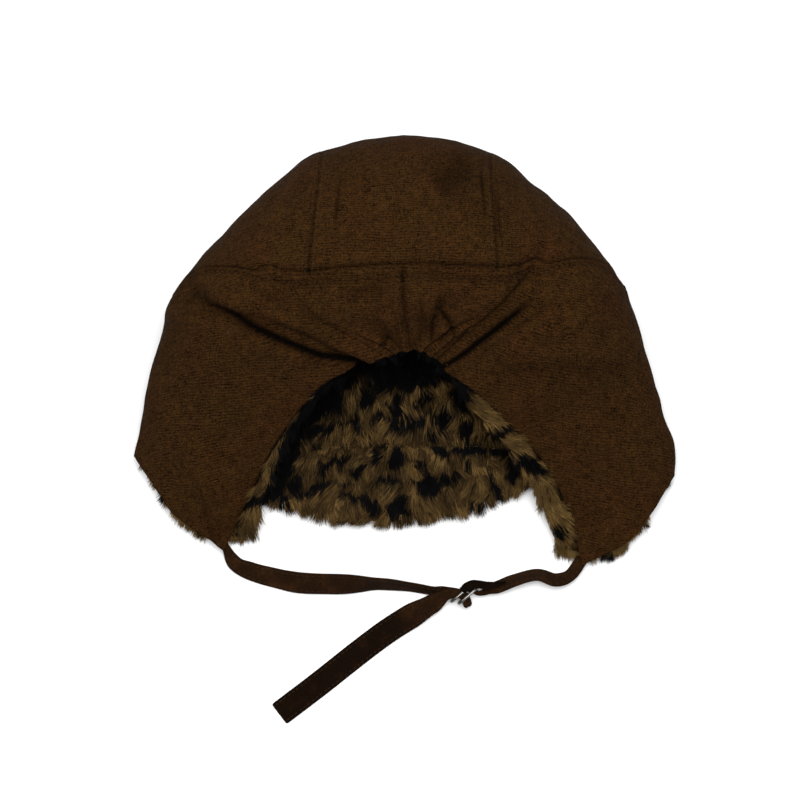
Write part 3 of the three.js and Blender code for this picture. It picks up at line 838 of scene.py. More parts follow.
class HatForm:
    """The hat's outer face: a is the section; s is -1 at the front seam, 0 at the rim and 1 at the edge."""

    def __init__(self) -> None:
        """Reads the tables."""
        self.front = np.array([[row.front] for row in SECTIONS], dtype=float)
        self.rim = np.array([row.rim for row in SECTIONS], dtype=float)
        self.mid = np.array([row.mid for row in SECTIONS], dtype=float)
        self.edge = np.array([row.edge for row in SECTIONS], dtype=float)
        self.seams = np.array([row.seam for row in SECTIONS], dtype=float)

    def seam(self, a: np.ndarray) -> np.ndarray:
        """Returns where the band's seam crosses each section."""
        return eased(self.seams, a)

    def face(self, a: np.ndarray, s: np.ndarray) -> np.ndarray:
        """Returns the smooth outer face in millimetres."""
        rim = catmull(self.rim, a)
        mid = catmull(self.mid, a)
        edge = catmull(self.edge, a)
        x = catmull(self.front, a)[:, 0]
        front = np.stack((x, front_seam(x), np.zeros_like(x)), axis=1)
        inward = front - rim
        inward[:, 2] = 0
        length = norms(inward)
        roll = np.minimum(ROLL * rim[:, 2], 0.6 * length)
        lift = rim + inward / length[:, None] * roll[:, None]
        lift[:, 2] = 0
        t = s[:, None]
        under = front + (lift - front) * (2 * (t + 1))
        turn = (t + 0.5) * math.pi
        around = lift + (rim - lift) * np.sin(turn)
        around[:, 2] = rim[:, 2] * (1 - np.cos(turn[:, 0]))
        rise = mid - rim
        turn = (t / BACK_SEAM) * (math.pi / 2)
        back = rim + rise * (1 - np.cos(turn))
        back[:, 2] = rim[:, 2] + rise[:, 2] * np.sin(turn[:, 0])
        t = (t - BACK_SEAM) / (1 - BACK_SEAM)
        leave = rise * (math.pi / 2) * ((1 - BACK_SEAM) / BACK_SEAM)
        leave[:, 2] = 0
        band = cubic(t, mid, leave, edge, edge - mid)
        where = s[:, None]
        front = np.where(where < -0.5, under, around)
        return np.where(where < 0, front, np.where(where < BACK_SEAM, back, band))

    def slopes(self, a: np.ndarray, s: np.ndarray) -> tuple[np.ndarray, np.ndarray, np.ndarray]:
        """Returns the outward direction and the slopes along a and along s."""
        a0 = np.maximum(a - SLOPE_STEP, 0)
        a1 = np.minimum(a + SLOPE_STEP, LAST)
        s0 = np.maximum(s - SLOPE_STEP, -1)
        s1 = np.minimum(s + SLOPE_STEP, 1)
        along_a = (self.face(a1, s) - self.face(a0, s)) / (a1 - a0)[:, None]
        along_s = (self.face(a, s1) - self.face(a, s0)) / (s1 - s0)[:, None]
        return unit(np.cross(along_s, along_a)), along_a, along_s

    def sunk(self, a: np.ndarray, s: np.ndarray) -> np.ndarray:
        """Returns how far the broad folds sink the cloth, as in the CAD."""
        depth = np.zeros_like(a)
        for fold in FOLDS:
            into = smoothstep(s, fold.start, fold.start + FOLD_FADES[0])
            out_of = 1 - smoothstep(s, fold.stop, fold.stop + FOLD_FADES[1])
            depth += fold.deep * bell(a - fold.section, fold.reach) * into * out_of
        window = smoothstep(a, GATHER_FROM, GATHER_FROM + 1) * (1 - smoothstep(a, GATHER_TO - 1, GATHER_TO))
        middle = smoothstep(a, 6.8, 8) * (1 - smoothstep(a, 10.8, 12))
        near = smoothstep(s, GATHER_START, 1) * (0.3 + 0.7 * middle)
        return depth + GATHER_HEIGHT * window * near * np.sin(2 * math.pi * a)

    def relief(self, a: np.ndarray, s: np.ndarray) -> tuple[np.ndarray, np.ndarray]:
        """Works out the fine relief of seams, creases and soft waves.

        Args:
            a: Sections.
            s: Places along them.

        Returns:
            How far the cloth stands out, in millimetres, and its painted shade, from 0 to 1: painted shadow
            in the seam grooves, the stitch dents, along the hem and in the creases.
        """
        at = self.face(a, s)
        _, along_a, _ = self.slopes(a, s)
        scale_a = norms(along_a)
        height = np.zeros_like(a)
        dark = np.zeros_like(a)
        seam = self.seam(a)
        from_seam = norms(self.face(a, seam) - at)
        from_edge = norms(self.face(a, np.ones_like(a)) - at)
        in_crown = 1 - smoothstep(s, seam + 0.02, seam + 0.07)
        off_outline = 1 - 0.8 * bell(s, 0.14)
        lines = (
            (np.abs(a - STRIP_LEFT) * scale_a, in_crown * off_outline, 0.5),
            (np.abs(a - STRIP_RIGHT) * scale_a, in_crown * off_outline, 0.5),
            (np.abs(a - CENTRE) * scale_a, smoothstep(s, BACK_SEAM, BACK_SEAM + 0.02), 0.8),
            (from_seam, np.ones_like(a), 0.8),
            (np.abs(from_seam - SECOND_ROW), (s > seam) * off_outline, 0.95),
        )
        for distance, window, deep in lines:
            groove = bell(distance, SEAM_GROOVE)
            puff = bell(distance - SEAM_PUFF, PUFF_WIDTH)
            row = bell(distance - SEAM_STITCH, STITCH_DENT)
            height += window * deep * (0.4 * puff - 0.5 * groove - 0.3 * row)
            # Painted shade in the seam's groove and in the dents under its stitches.
            dark += window * deep * (0.5 * groove + 0.3 * row)
        height += 0.35 * bell(from_edge - 1.1, 1.1) * (s > 0)
        height -= 0.4 * bell(from_edge - HEM, 0.55) * (s > 0)
        # Painted shade in the dent under the hem's row of stitches.
        dark += 0.45 * bell(from_edge - HEM, 0.5) * (s > 0)
        for crease in CREASES:
            distance, side, share = line_distance(at[:, :2], crease.points)
            window = smoothstep(share, 0, 0.25) * (1 - smoothstep(share, 0.75, 1) * 0.6)
            window = window * smoothstep(s, 0.02, 0.1)
            lip = bell(side - 2.1 * crease.width, 1.6 * crease.width)
            height += window * (crease.lip * lip - crease.deep * bell(distance, crease.width))
            # Painted shadow in the crease, darkest along its middle.
            if crease.deep > 0:
                shade = 0.2 * min(crease.deep, 2.5) * bell(distance, 1.3 * crease.width)
                core = crease.core * bell(distance, 0.5 * crease.width)
                dark += window * shade + core * smoothstep(share, 0.12, 0.4) * smoothstep(s, 0.02, 0.1)
        for wave, length, tall in WAVES:
            phase = at @ (np.array(wave) * (2 * math.pi / length))
            height += tall * np.sin(phase + 1.3 * np.sin(phase * 0.37 + wave[0] * 5))
        return height, np.clip(dark, 0, 1)

    def cloth(self, a: np.ndarray, s: np.ndarray) -> tuple[np.ndarray, np.ndarray, np.ndarray]:
        """Returns places on the cloth's face, the outward direction and the painted shade of its seams, hem
        and creases.
        """
        out, _, _ = self.slopes(a, s)
        height, dark = self.relief(a, s)
        points = self.face(a, s) + out * (height - self.sunk(a, s))[:, None]
        points[:, 2] = np.maximum(points[:, 2], 0.0)
        return points, out, dark

    def inner(self, a: np.ndarray, s: np.ndarray, inside: float) -> tuple[np.ndarray, np.ndarray]:
        """Returns places so far inside the cloth, clear of its creases, and the outward direction."""
        out, _, _ = self.slopes(a, s)
        points = self.face(a, s) - out * (self.sunk(a, s) + inside + self.crease_room(a, s))[:, None]
        points[:, 2] = np.maximum(points[:, 2], inside)
        return points, out

    def crease_room(self, a: np.ndarray, s: np.ndarray) -> np.ndarray:
        """Returns how far the deep creases push in what lies inside the cloth."""
        places = self.face(a, s)[:, :2]
        deepest = np.zeros_like(a)
        for crease in CREASES:
            if crease.deep > 1:
                distance, _, share = line_distance(places, crease.points)
                room = 1.25 * crease.deep * smoothstep(share, 0, 0.25)
                room = room * bell(distance, 2.6 * crease.width)
                deepest = np.maximum(deepest, room * smoothstep(s, -0.05, 0.05))
        return deepest


# Cloth panels and their stitches


@dataclass
class ClothPanel:
    """One sewn panel of the shell between two sections and two lines across them."""

    name: str
    node: str
    first: float
    last: float
    columns: int
    rows: int
    in_band: bool

    def build(self, form: HatForm, finish: bpy.types.Material) -> bpy.types.Object:
        """Bends a fine grid onto the form and gives it the cloth's thickness."""
        piece, across, along = grid_object(self.name, self.columns, self.rows)
        a = self.first + (self.last - self.first) * across
        seam = form.seam(a)
        s = seam + (1 - seam) * along if self.in_band else -1 + (seam + 1) * along
        points, _, dark = form.cloth(a, s)
        place_vertices(piece.data, points)
        # The crease attribute keeps the painted shade of the seams, hem and creases.
        keep_numbers(piece.data, "crease", dark)
        ridge = catmull(form.mid, a)[:, 2]
        fall = np.where(s < BACK_SEAM, -0.8, 0.8) * (points[:, 2] - ridge)
        keep_pattern(piece.data, np.stack((points[:, 0], points[:, 1] + fall), axis=1) * MM)
        piece.data.materials.append(finish)
        piece.data.flip_normals()
        thicken(piece, CLOTH)
        finish_piece(piece, Slot.CLOTH, self.node)
        return piece


@dataclass
class StitchRow:
    """A row of stitches along a path of sections, offset from it in millimetres."""

    start: tuple[float, float]
    stop: tuple[float, float]
    offset_a: float = 0.0
    offset_s: float = 0.0
    on_seam: bool = False

    def places(self, form: HatForm, pitch: float) -> list[tuple[Vector, Vector, Vector]]:
        """Returns the middle, the direction and the outward direction of each stitch."""
        t = np.linspace(0, 1, 1200)
        a = self.start[0] + (self.stop[0] - self.start[0]) * t
        s = form.seam(a) if self.on_seam else self.start[1] + (self.stop[1] - self.start[1]) * t
        _, along_a, along_s = form.slopes(a, s)
        a = a + self.offset_a / norms(along_a)
        s = s + self.offset_s / norms(along_s)
        keep = (s > -1) & (s < 1) & (a > 0) & (a < LAST)
        points, out, _ = form.cloth(a[keep], s[keep])
        run = run_along(points)
        found = []
        for at in np.arange(pitch, run[-1] - pitch, pitch):
            k = int(np.searchsorted(run, at))
            ahead = Vector(points[k] - points[k - 1]).normalized()
            found.append((Vector(points[k]), ahead, Vector(out[k])))
        return found


@dataclass
class Shell:
    """The brown cotton shell: crown, strip, band and flaps, with every seam's stitches."""

    form: HatForm
    finishes: Finishes
    pitch: float = 3.1
    length: float = 2.2
    thick: float = 0.36
    proud: float = 0.06
    panels: tuple[ClothPanel, ...] = (
        ClothPanel("crown_left_cloth", "crown_left", 0, STRIP_LEFT, 104, 110, False),
        ClothPanel("crown_centre_cloth", "crown_centre", STRIP_LEFT, STRIP_RIGHT, 54, 130, False),
        ClothPanel("crown_right_cloth", "crown_right", STRIP_RIGHT, LAST, 104, 110, False),
        ClothPanel("flap_left_cloth", "flap_left", 0, CENTRE, 168, 92, True),
        ClothPanel("flap_right_cloth", "flap_right", CENTRE, LAST, 168, 92, True),
    )

    def build(self) -> None:
        """Builds the panels and sews them."""
        for panel in self.panels:
            panel.build(self.form, self.finishes.cotton)
        self.sew("stitches_crown", self.crown_rows())
        self.sew("stitches_band", self.band_rows())

    def crown_rows(self) -> list[StitchRow]:
        """Returns the rows beside the strip's two seams."""
        rows = []
        for section in (STRIP_LEFT, STRIP_RIGHT):
            for side in (-SEAM_STITCH, SEAM_STITCH):
                rows.append(StitchRow((section, -0.45), (section, BACK_SEAM + 0.04), offset_a=side))
        return rows

    def band_rows(self) -> list[StitchRow]:
        """Returns the rows on the band: beside its seam, at the centre back and along the turned edge."""
        return [
            StitchRow((5.2, 0), (12.8, 0), offset_s=SECOND_ROW, on_seam=True),
            StitchRow((CENTRE, BACK_SEAM), (CENTRE, 0.99), offset_a=-3.6),
            StitchRow((CENTRE, BACK_SEAM), (CENTRE, 0.99), offset_a=3.6),
            StitchRow((0.05, 1), (LAST - 0.05, 1), offset_s=-HEM),
        ]

    def sew(self, name: str, rows: list[StitchRow]) -> bpy.types.Object:
        """Sets one small capsule for each stitch of the rows."""
        shape = bmesh.new()
        half = (self.length / 2, self.thick / 2, self.thick / 2)
        for row in rows:
            for middle, ahead, out in row.places(self.form, self.pitch):
                axes = (ahead, out.cross(ahead).normalized(), out)
                add_stitch(shape, middle + out * self.proud, axes, half)
        piece = object_from(shape, name, self.finishes.thread)
        finish_piece(piece, Slot.CLOTH)
        return piece


# Fur


class LeopardPrint:
    """Dark marks on a tan ground, seen from above; some of them are painted shadow inside the hat."""

    ACROSS = (-165, 165)
    ALONG = (-160, 105)
    WANDER = 6.0
    WIDE = (3.0, 7.5)
    HIGH = (2.2, 3.8)

    def __init__(self, seed: int = 5) -> None:
        """Keeps the marks that show, and scatters others over the rest."""
        rng = np.random.default_rng(seed)
        marks = [(m.x, m.y, m.wide, m.high, math.radians(m.turn)) for m in MARKS]
        left, right, low, high = PRINT_SEEN
        for x in np.arange(*self.ACROSS, PRINT_PITCH):
            for y in np.arange(*self.ALONG, PRINT_PITCH):
                place = (x + self.WANDER * rng.uniform(-1, 1), y + self.WANDER * rng.uniform(-1, 1))
                size = (rng.uniform(*self.WIDE), rng.uniform(*self.HIGH))
                if left < place[0] < right and low < place[1] < high:
                    continue
                marks.append((*place, *size, rng.uniform(0, math.pi)))
        self.marks = np.array(marks)

    def darkness(self, places: np.ndarray) -> np.ndarray:
        """Returns 1 in a mark and 0 outside, with ragged borders."""
        x0, y0, _ = places.T
        x = x0 + 0.9 * np.sin(y0 * 0.8) + 0.5 * np.sin(y0 * 1.9 + x0)
        y = y0 + 0.9 * np.sin(x0 * 0.7 + 2) + 0.5 * np.sin(x0 * 1.7 - y0)
        nearest = np.full(len(places), 9.0)
        for mx, my, wide, high, turn in self.marks:
            dx = x - mx
            dy = y - my
            u = (dx * math.cos(turn) + dy * math.sin(turn)) / (wide + MARK_BLEED)
            v = (dy * math.cos(turn) - dx * math.sin(turn)) / (high + MARK_BLEED)
            nearest = np.minimum(nearest, u * u + v * v)
        return 1 - smoothstep(nearest, 0.75, 1.25)


@dataclass
class Roots:
    """Where hairs grow: place, outward direction, the way they lie and their length, one row each."""

    at: np.ndarray
    out: np.ndarray
    lie: np.ndarray
    length: np.ndarray

    def joined(self, other: "Roots") -> "Roots":
        """Returns both sets as one."""
        names = [part.name for part in fields(self)]
        return Roots(*(np.concatenate((getattr(self, name), getattr(other, name))) for name in names))


@dataclass
class FurPile:
    """A set of hairs, each a tapered ribbon of two faces, that lean together in locks."""

    name: str
    roots: Roots
    fur_print: LeopardPrint
    width: float = 0.5
    lock_size: float = 3.8
    clump: float = 0.44
    rise: float = 0.62
    lowest: float = 0.15
    tousle: float = 0.42
    sway: float = 0.8
    # Painted light: lifts every hair's shade, for fur that catches the light.
    painted_light: float = 0.0
    seed: int = 11

    def build(self, finish: bpy.types.Material) -> bpy.types.Object:
        """Grows the hairs and keeps each one's colour."""
        rng = np.random.default_rng(self.seed)
        count = len(self.roots.at)
        piece, corner = self.ribbons(count)
        lock = self.locks(rng)
        tall = self.roots.length * rng.normal(1.0, 0.13, count) * (0.8 + 0.4 * lock["tall"])
        x, y, _ = self.roots.at.T * (2 * math.pi)
        drift = 0.55 * np.sin(x / 41.0 + 1.7 * np.sin(y / 33.0)) + 0.35 * np.sin(y / 19.0 + 2.0)
        turned = np.cross(self.roots.out, self.roots.lie) * (drift * self.sway)[:, None]
        lie = unit(self.roots.lie + turned + rng.normal(0, 0.14, (count, 3)) + lock["lean"] * self.tousle)
        out = self.roots.out
        middle = self.roots.at + (out * self.rise + lie * 0.5) * (tall * 0.5)[:, None]
        tip = self.roots.at + (out * self.rise * 0.75 + lie * 0.95) * tall[:, None]
        gather = (lock["middle"] - self.roots.at) * rng.uniform(0.5, 1.0, count)[:, None] * self.clump
        middle = middle + gather * 0.35
        tip = tip + gather
        sideways = unit(np.cross(lie, out) + out * rng.normal(0, 0.45, count)[:, None])
        wide = self.width * rng.uniform(0.7, 1.3, count)
        steps = (
            (self.roots.at - out * 0.4, wide),
            (middle, wide * 0.85),
            (tip, wide * 0.12),
        )
        points = np.empty((len(corner["hair"]), 3))
        for row, (place, across) in enumerate(steps):
            here = corner["row"] == row
            hair = corner["hair"][here]
            reach = across[hair] * 0.5 * corner["side"][here]
            points[here] = place[hair] + sideways[hair] * reach[:, None]
        points[:, 2] = np.maximum(points[:, 2], self.lowest)
        place_vertices(piece.data, points)
        stray = rng.normal(0, 0.35, (count, 3))
        spot = self.fur_print.darkness(middle * 0.45 + tip * 0.55 + stray)
        # Each lock's shade, lifted by the painted light.
        shade = np.clip(lock["tall"] ** 2 * 0.6 + rng.normal(0.1, 0.25, count) + self.painted_light, 0, 1)
        keep_fur(piece.data, spot[corner["hair"]], corner["row"] / 2, shade[corner["hair"]])
        piece.data.materials.append(finish)
        finish_piece(piece, Slot.FUR)
        return piece

    def locks(self, rng: np.random.Generator) -> dict[str, np.ndarray]:
        """Sorts the hairs into locks and returns the middle, lean and height of each hair's lock."""
        at = self.roots.at
        order = rng.permutation(len(at))
        centres = []
        taken = set()
        for k in order:
            cell = tuple(np.floor(at[k] / self.lock_size).astype(int))
            if cell not in taken:
                taken.add(cell)
                centres.append(at[k])
        centres = np.array(centres)
        owner = np.empty(len(at), dtype=int)
        for start in range(0, len(at), 4000):
            part = at[start:start + 4000]
            gap = np.linalg.norm(part[:, None, :] - centres[None, :, :], axis=2)
            owner[start:start + 4000] = np.argmin(gap, axis=1)
        return {
            "middle": centres[owner],
            "lean": rng.normal(0, 0.5, (len(centres), 3))[owner],
            "tall": rng.uniform(0, 1, len(centres))[owner],
        }

    def ribbons(self, count: int) -> tuple[bpy.types.Object, dict[str, np.ndarray]]:
        """Cuts one long grid into separate ribbons of two faces.

        Args:
            count: How many ribbons.

        Returns:
            The object, and for each vertex its hair, its row from root to tip and its side, -1 or 1.
        """
        shape = bmesh.new()
        bmesh.ops.create_grid(shape, x_segments=count, y_segments=2, size=0.5)
        uprights = [edge for edge in shape.edges if abs(edge.verts[0].co.x - edge.verts[1].co.x) < 1e-9]
        bmesh.ops.split_edges(shape, edges=uprights)
        piece = object_from(shape, self.name)
        flat = vertex_places(piece.data)
        corners = corner_vertices(piece.data).reshape(-1, 4)
        middle = flat[corners, 0].mean(axis=1)
        column = np.clip(np.floor((middle + 0.5) * count).astype(int), 0, count - 1)
        hair = np.zeros(len(flat), dtype=int)
        side = np.zeros(len(flat))
        hair[corners] = column[:, None]
        side[corners] = np.sign(flat[corners, 0] - middle[:, None])
        row = np.round((flat[:, 1] + 0.5) * 2).astype(int)
        return piece, {"hair": hair, "row": row, "side": side}


@dataclass(frozen=True)
class FurPatch:
    """A stretch of the lining with its own pile: its bounds in sections and along them, and its hairs."""

    name: str
    first: float
    last: float
    low: float
    high: float
    count: int
    length: float
    spread: float
    width: float
    # Painted light: lifts the pile's shade, for fur that catches the light.
    painted_light: float = 0.0


@dataclass
class Lining:
    """The fur lining: a backing inside the whole shell and the pile on what shows of it."""

    form: HatForm
    finishes: Finishes
    fur_print: LeopardPrint
    columns: int = 110
    rows: int = 74
    backing: float = 1.6
    rim_share: float = 0.7
    edge_tries: float = 0.45
    tuck: float = 12.0
    patches: tuple[FurPatch, ...] = (
        FurPatch("fur_crown_front", 5.5, 12.5, -1.0, -0.42, 41000, 8.0, 0.6, 0.55),
        # The last number of each rim is painted light: the right rim faces up and catches more of it.
        FurPatch("fur_rim_left", 0.3, 8.5, 0.8, 1.0, 20000, 6.5, 0.6, 0.5, 0.3),
        FurPatch("fur_rim_right", 9.5, 17.8, 0.8, 1.0, 26000, 7.2, 0.6, 0.5, 0.75),
        FurPatch("fur_inside_back", 4.5, 13.5, -0.4, 0.72, 5000, 6.5, 0.6, 1.6),
    )

    def build(self) -> None:
        """Builds the backing, the pile on it and the fringes at the flaps' front edges."""
        self.build_backing()
        for patch in self.patches:
            looks = {"width": patch.width, "rise": patch.spread, "painted_light": patch.painted_light}
            FurPile(patch.name, self.roots(patch), self.fur_print, **looks).build(self.finishes.fur)
        fringe = self.fringe_roots(0.0, 3600, 7.5).joined(self.fringe_roots(float(LAST), 6600, 7.5))
        # The fringe's 0.9 is painted light on the hairs past the flaps' edges.
        pile = FurPile("fur_fringe_front", fringe, self.fur_print, 0.5, 2.6, 0.15, painted_light=0.9)
        pile.build(self.finishes.fur)

    def place(self, a: np.ndarray, s: np.ndarray, past: np.ndarray) -> tuple[np.ndarray, np.ndarray]:
        """Returns places on the backing's inner face and the direction into the hat.

        Args:
            a: Sections.
            s: Places along them.
            past: How far beyond the back edge, from 0 to 1 of the rim's width.
        """
        near_tip = 1 - smoothstep(np.minimum(a, LAST - a), 0, 0.8)
        _, _, along_s = self.form.slopes(a, s)
        length = norms(along_s)
        share = smoothstep(s, 0.4, 1.0)
        tucked = s - self.tuck * near_tip / length * share
        points, out = self.form.inner(a, tucked, CLOTH + LINING_GAP + self.backing)
        rim = on_table(FUR_RIM, a) * self.rim_share
        points = points + along_s / length[:, None] * (rim * past)[:, None] - out * (past * 1.5)[:, None]
        points[:, 2] = np.maximum(points[:, 2], 0.6 + self.backing)
        return points, -out

    def build_backing(self) -> bpy.types.Object:
        """Makes the knitted ground of the fur as one sheet inside the shell."""
        piece, across, along = grid_object("fur_backing", self.columns, self.rows)
        a = across * LAST
        s = np.minimum(-1 + along * 2.08, 1.0)
        past = smoothstep(along, 2 / 2.08, 1.0)
        points, _ = self.place(a, s, past)
        place_vertices(piece.data, points)
        keep_fur(piece.data, self.fur_print.darkness(points), BACKING_TIP, BACKING_SHADE)
        piece.data.materials.append(self.finishes.fur)
        thicken(piece, self.backing, 1.0)
        finish_piece(piece, Slot.FUR, "lining_crown")
        return piece

    def scatter(self, patch: FurPatch, rng: np.random.Generator) -> tuple[np.ndarray, ...]:
        """Picks places evenly over a patch, clear of the creases: a, s and how far past the edge."""
        tries = patch.count * 3
        a = rng.uniform(patch.first, patch.last, tries)
        s = rng.uniform(patch.low, patch.high, tries)
        past = np.zeros(tries)
        if patch.high >= 1:
            on_rim = rng.uniform(0, 1, tries) < self.edge_tries
            s = np.where(on_rim, 1.0, s)
            past = np.where(on_rim, rng.uniform(0, 1, tries), 0.0)
        _, along_a, along_s = self.form.slopes(a, s)
        area = norms(np.cross(along_a, along_s))
        depth = (patch.high - patch.low) / (1 - self.edge_tries) * self.edge_tries
        on_edge = norms(along_a) * on_table(FUR_RIM, a) * self.rim_share / depth
        area = np.where(past > 0, on_edge, area)
        crowded = (s > 0) & ((self.form.crease_room(a, s) > 0.25) | (self.form.sunk(a, s) > 1.8))
        area = np.where(crowded & (past < 0.05), 0, area)
        pick = rng.choice(tries, size=patch.count, replace=False, p=area / area.sum())
        return a[pick], s[pick], past[pick]

    def roots(self, patch: FurPatch) -> Roots:
        """Grows hairs on a patch: towards the chin inside the hat, and out over the edge on its rim."""
        rng = np.random.default_rng(len(patch.name) * 7 + patch.count)
        a, s, past = self.scatter(patch, rng)
        points, out = self.place(a, s, past)
        _, along_a, along_s = self.form.slopes(a, s)
        wide = smoothstep(on_table(FUR_RIM, a), 1.5, 3.5)
        on_rim = (smoothstep(past, 0.0, 0.2) * smoothstep(s, 0.8, 1.0) * wide)[:, None]
        chinward = unit(along_a) * np.where(a > CENTRE, 1.0, -1.0)[:, None]
        near = (1 - smoothstep(past, 0.1, 0.6))[:, None]
        back = np.where(a > CENTRE, -0.3 - 0.55 * near[:, 0], 0.15 - 0.45 * near[:, 0])[:, None]
        from_tip = smoothstep(np.minimum(a, LAST - a), 0.4, 1.0)[:, None]
        back = back * from_tip + 0.15 * (1 - from_tip)
        down = np.array((0.0, -1.0, -0.15))
        flat = unit(down - out * np.sum(down * out, axis=1, keepdims=True))
        lie = unit(flat * (1 - on_rim) + (chinward + unit(along_s) * back) * on_rim)
        points = points + out * ((rng.uniform(-1.5, 3.0, len(a))[:, None] - 1.8 * near) * on_rim * from_tip)
        outward = unit(unit(along_s) * 0.55 - out * 0.8)
        out = unit(out * (1 - on_rim * from_tip) + outward * on_rim * from_tip)
        from_seam = (s + 1) * norms(along_s)
        length = patch.length * (0.35 + 0.65 * smoothstep(from_seam, 0.5, 9.0))
        length = length * (1.3 - 0.3 * smoothstep(np.minimum(a, LAST - a), 0.5, 1.6))
        return Roots(points, out, lie, length)

    def fringe_roots(self, end: float, count: int, length: float) -> Roots:
        """Scatters hairs along a flap's front edge, pointing out past the cloth."""
        rng = np.random.default_rng(count)
        a = np.abs(end - rng.uniform(0.0, 0.2, count))
        s = rng.beta(1.7, 1.1, count) * 1.24 - 0.26
        points, out = self.place(a, s, np.zeros(count))
        _, along_a, along_s = self.form.slopes(a, s)
        away = unit(along_a) * (1 if end > 0 else -1)
        down = unit(along_s) * smoothstep(s, 0.5, 0.95)[:, None]
        down[:, 1] -= 0.4
        down[:, 2] -= 0.15
        lie = unit(away + down)
        return Roots(points, out, lie, np.full(count, length))


@dataclass
class Visor:
    """The short peak at the front: cloth on the floor side, fur on the other."""

    form: HatForm
    finishes: Finishes
    fur_print: LeopardPrint
    columns: int = 90
    rows: int = 26
    hem: float = 5.0
    ground_hem: float = 3.0
    pile_hem: float = 4.5
    backing: float = 2.0
    fur_side: float = CLOTH + 2.3  # height of the backing's upper face
    hairs: int = 42000
    length: float = 8.0

    def reach(self, across: np.ndarray) -> tuple[np.ndarray, np.ndarray]:
        """Returns the places from temple to temple and how far the fur reaches below them."""
        x = VISOR[0][0] + (VISOR[-1][0] - VISOR[0][0]) * across
        return x, on_table(VISOR, x)

    def point(self, across: np.ndarray, share: np.ndarray, trim: float, height: float) -> np.ndarray:
        """Returns places at a height, from temple to temple and a share of the way to the free edge."""
        x, reach = self.reach(across)
        y = front_seam(x) - 0.2 - np.maximum(reach - trim, 2) * share
        return np.stack((x, y, np.full_like(x, height)), axis=1)

    def build(self) -> None:
        """Builds the cloth side, the fur's backing and its pile."""
        cloth, across, along = grid_object("visor_cloth_panel", self.columns, self.rows)
        points = self.point(across, 1 - along, self.hem, CLOTH)
        place_vertices(cloth.data, points)
        keep_numbers(cloth.data, "crease", np.zeros(len(points)))
        keep_pattern(cloth.data, points[:, :2] * MM)
        cloth.data.materials.append(self.finishes.cotton)
        thicken(cloth, CLOTH)
        finish_piece(cloth, Slot.CLOTH, "visor_cloth")
        ground, across, along = grid_object("visor_fur_backing", self.columns, self.rows)
        points = self.point(across, 1 - along, self.ground_hem, self.fur_side)
        place_vertices(ground.data, points)
        keep_fur(ground.data, self.fur_print.darkness(points), BACKING_TIP, BACKING_SHADE)
        ground.data.materials.append(self.finishes.fur)
        thicken(ground, self.backing)
        finish_piece(ground, Slot.FUR, "visor_fur")
        pile = FurPile("fur_visor", self.roots(), self.fur_print, width=0.5, rise=0.6, lock_size=5.0)
        pile.build(self.finishes.fur)

    def roots(self) -> Roots:
        """Scatters the visor's hairs, which lie towards its free edge."""
        rng = np.random.default_rng(23)
        across = rng.uniform(0, 1, self.hairs * 3)
        _, reach = self.reach(across)
        across = rng.choice(across, size=self.hairs, replace=False, p=reach / reach.sum())
        share = rng.uniform(0, 1, self.hairs)
        points = self.point(across, share, self.pile_hem, self.fur_side)
        out = np.tile((0.0, 0.0, 1.0), (self.hairs, 1))
        sway = 0.25 * np.sin(points[:, 0] * 0.07) + points[:, 0] * 0.003
        lie = np.stack((sway, np.full(self.hairs, -1.0), -0.25 * share), axis=1)
        length = self.length * (0.4 + 0.6 * smoothstep(share, 0.0, 0.18))
        return Roots(points, out, unit(lie), length)


# Chin strap and buckle


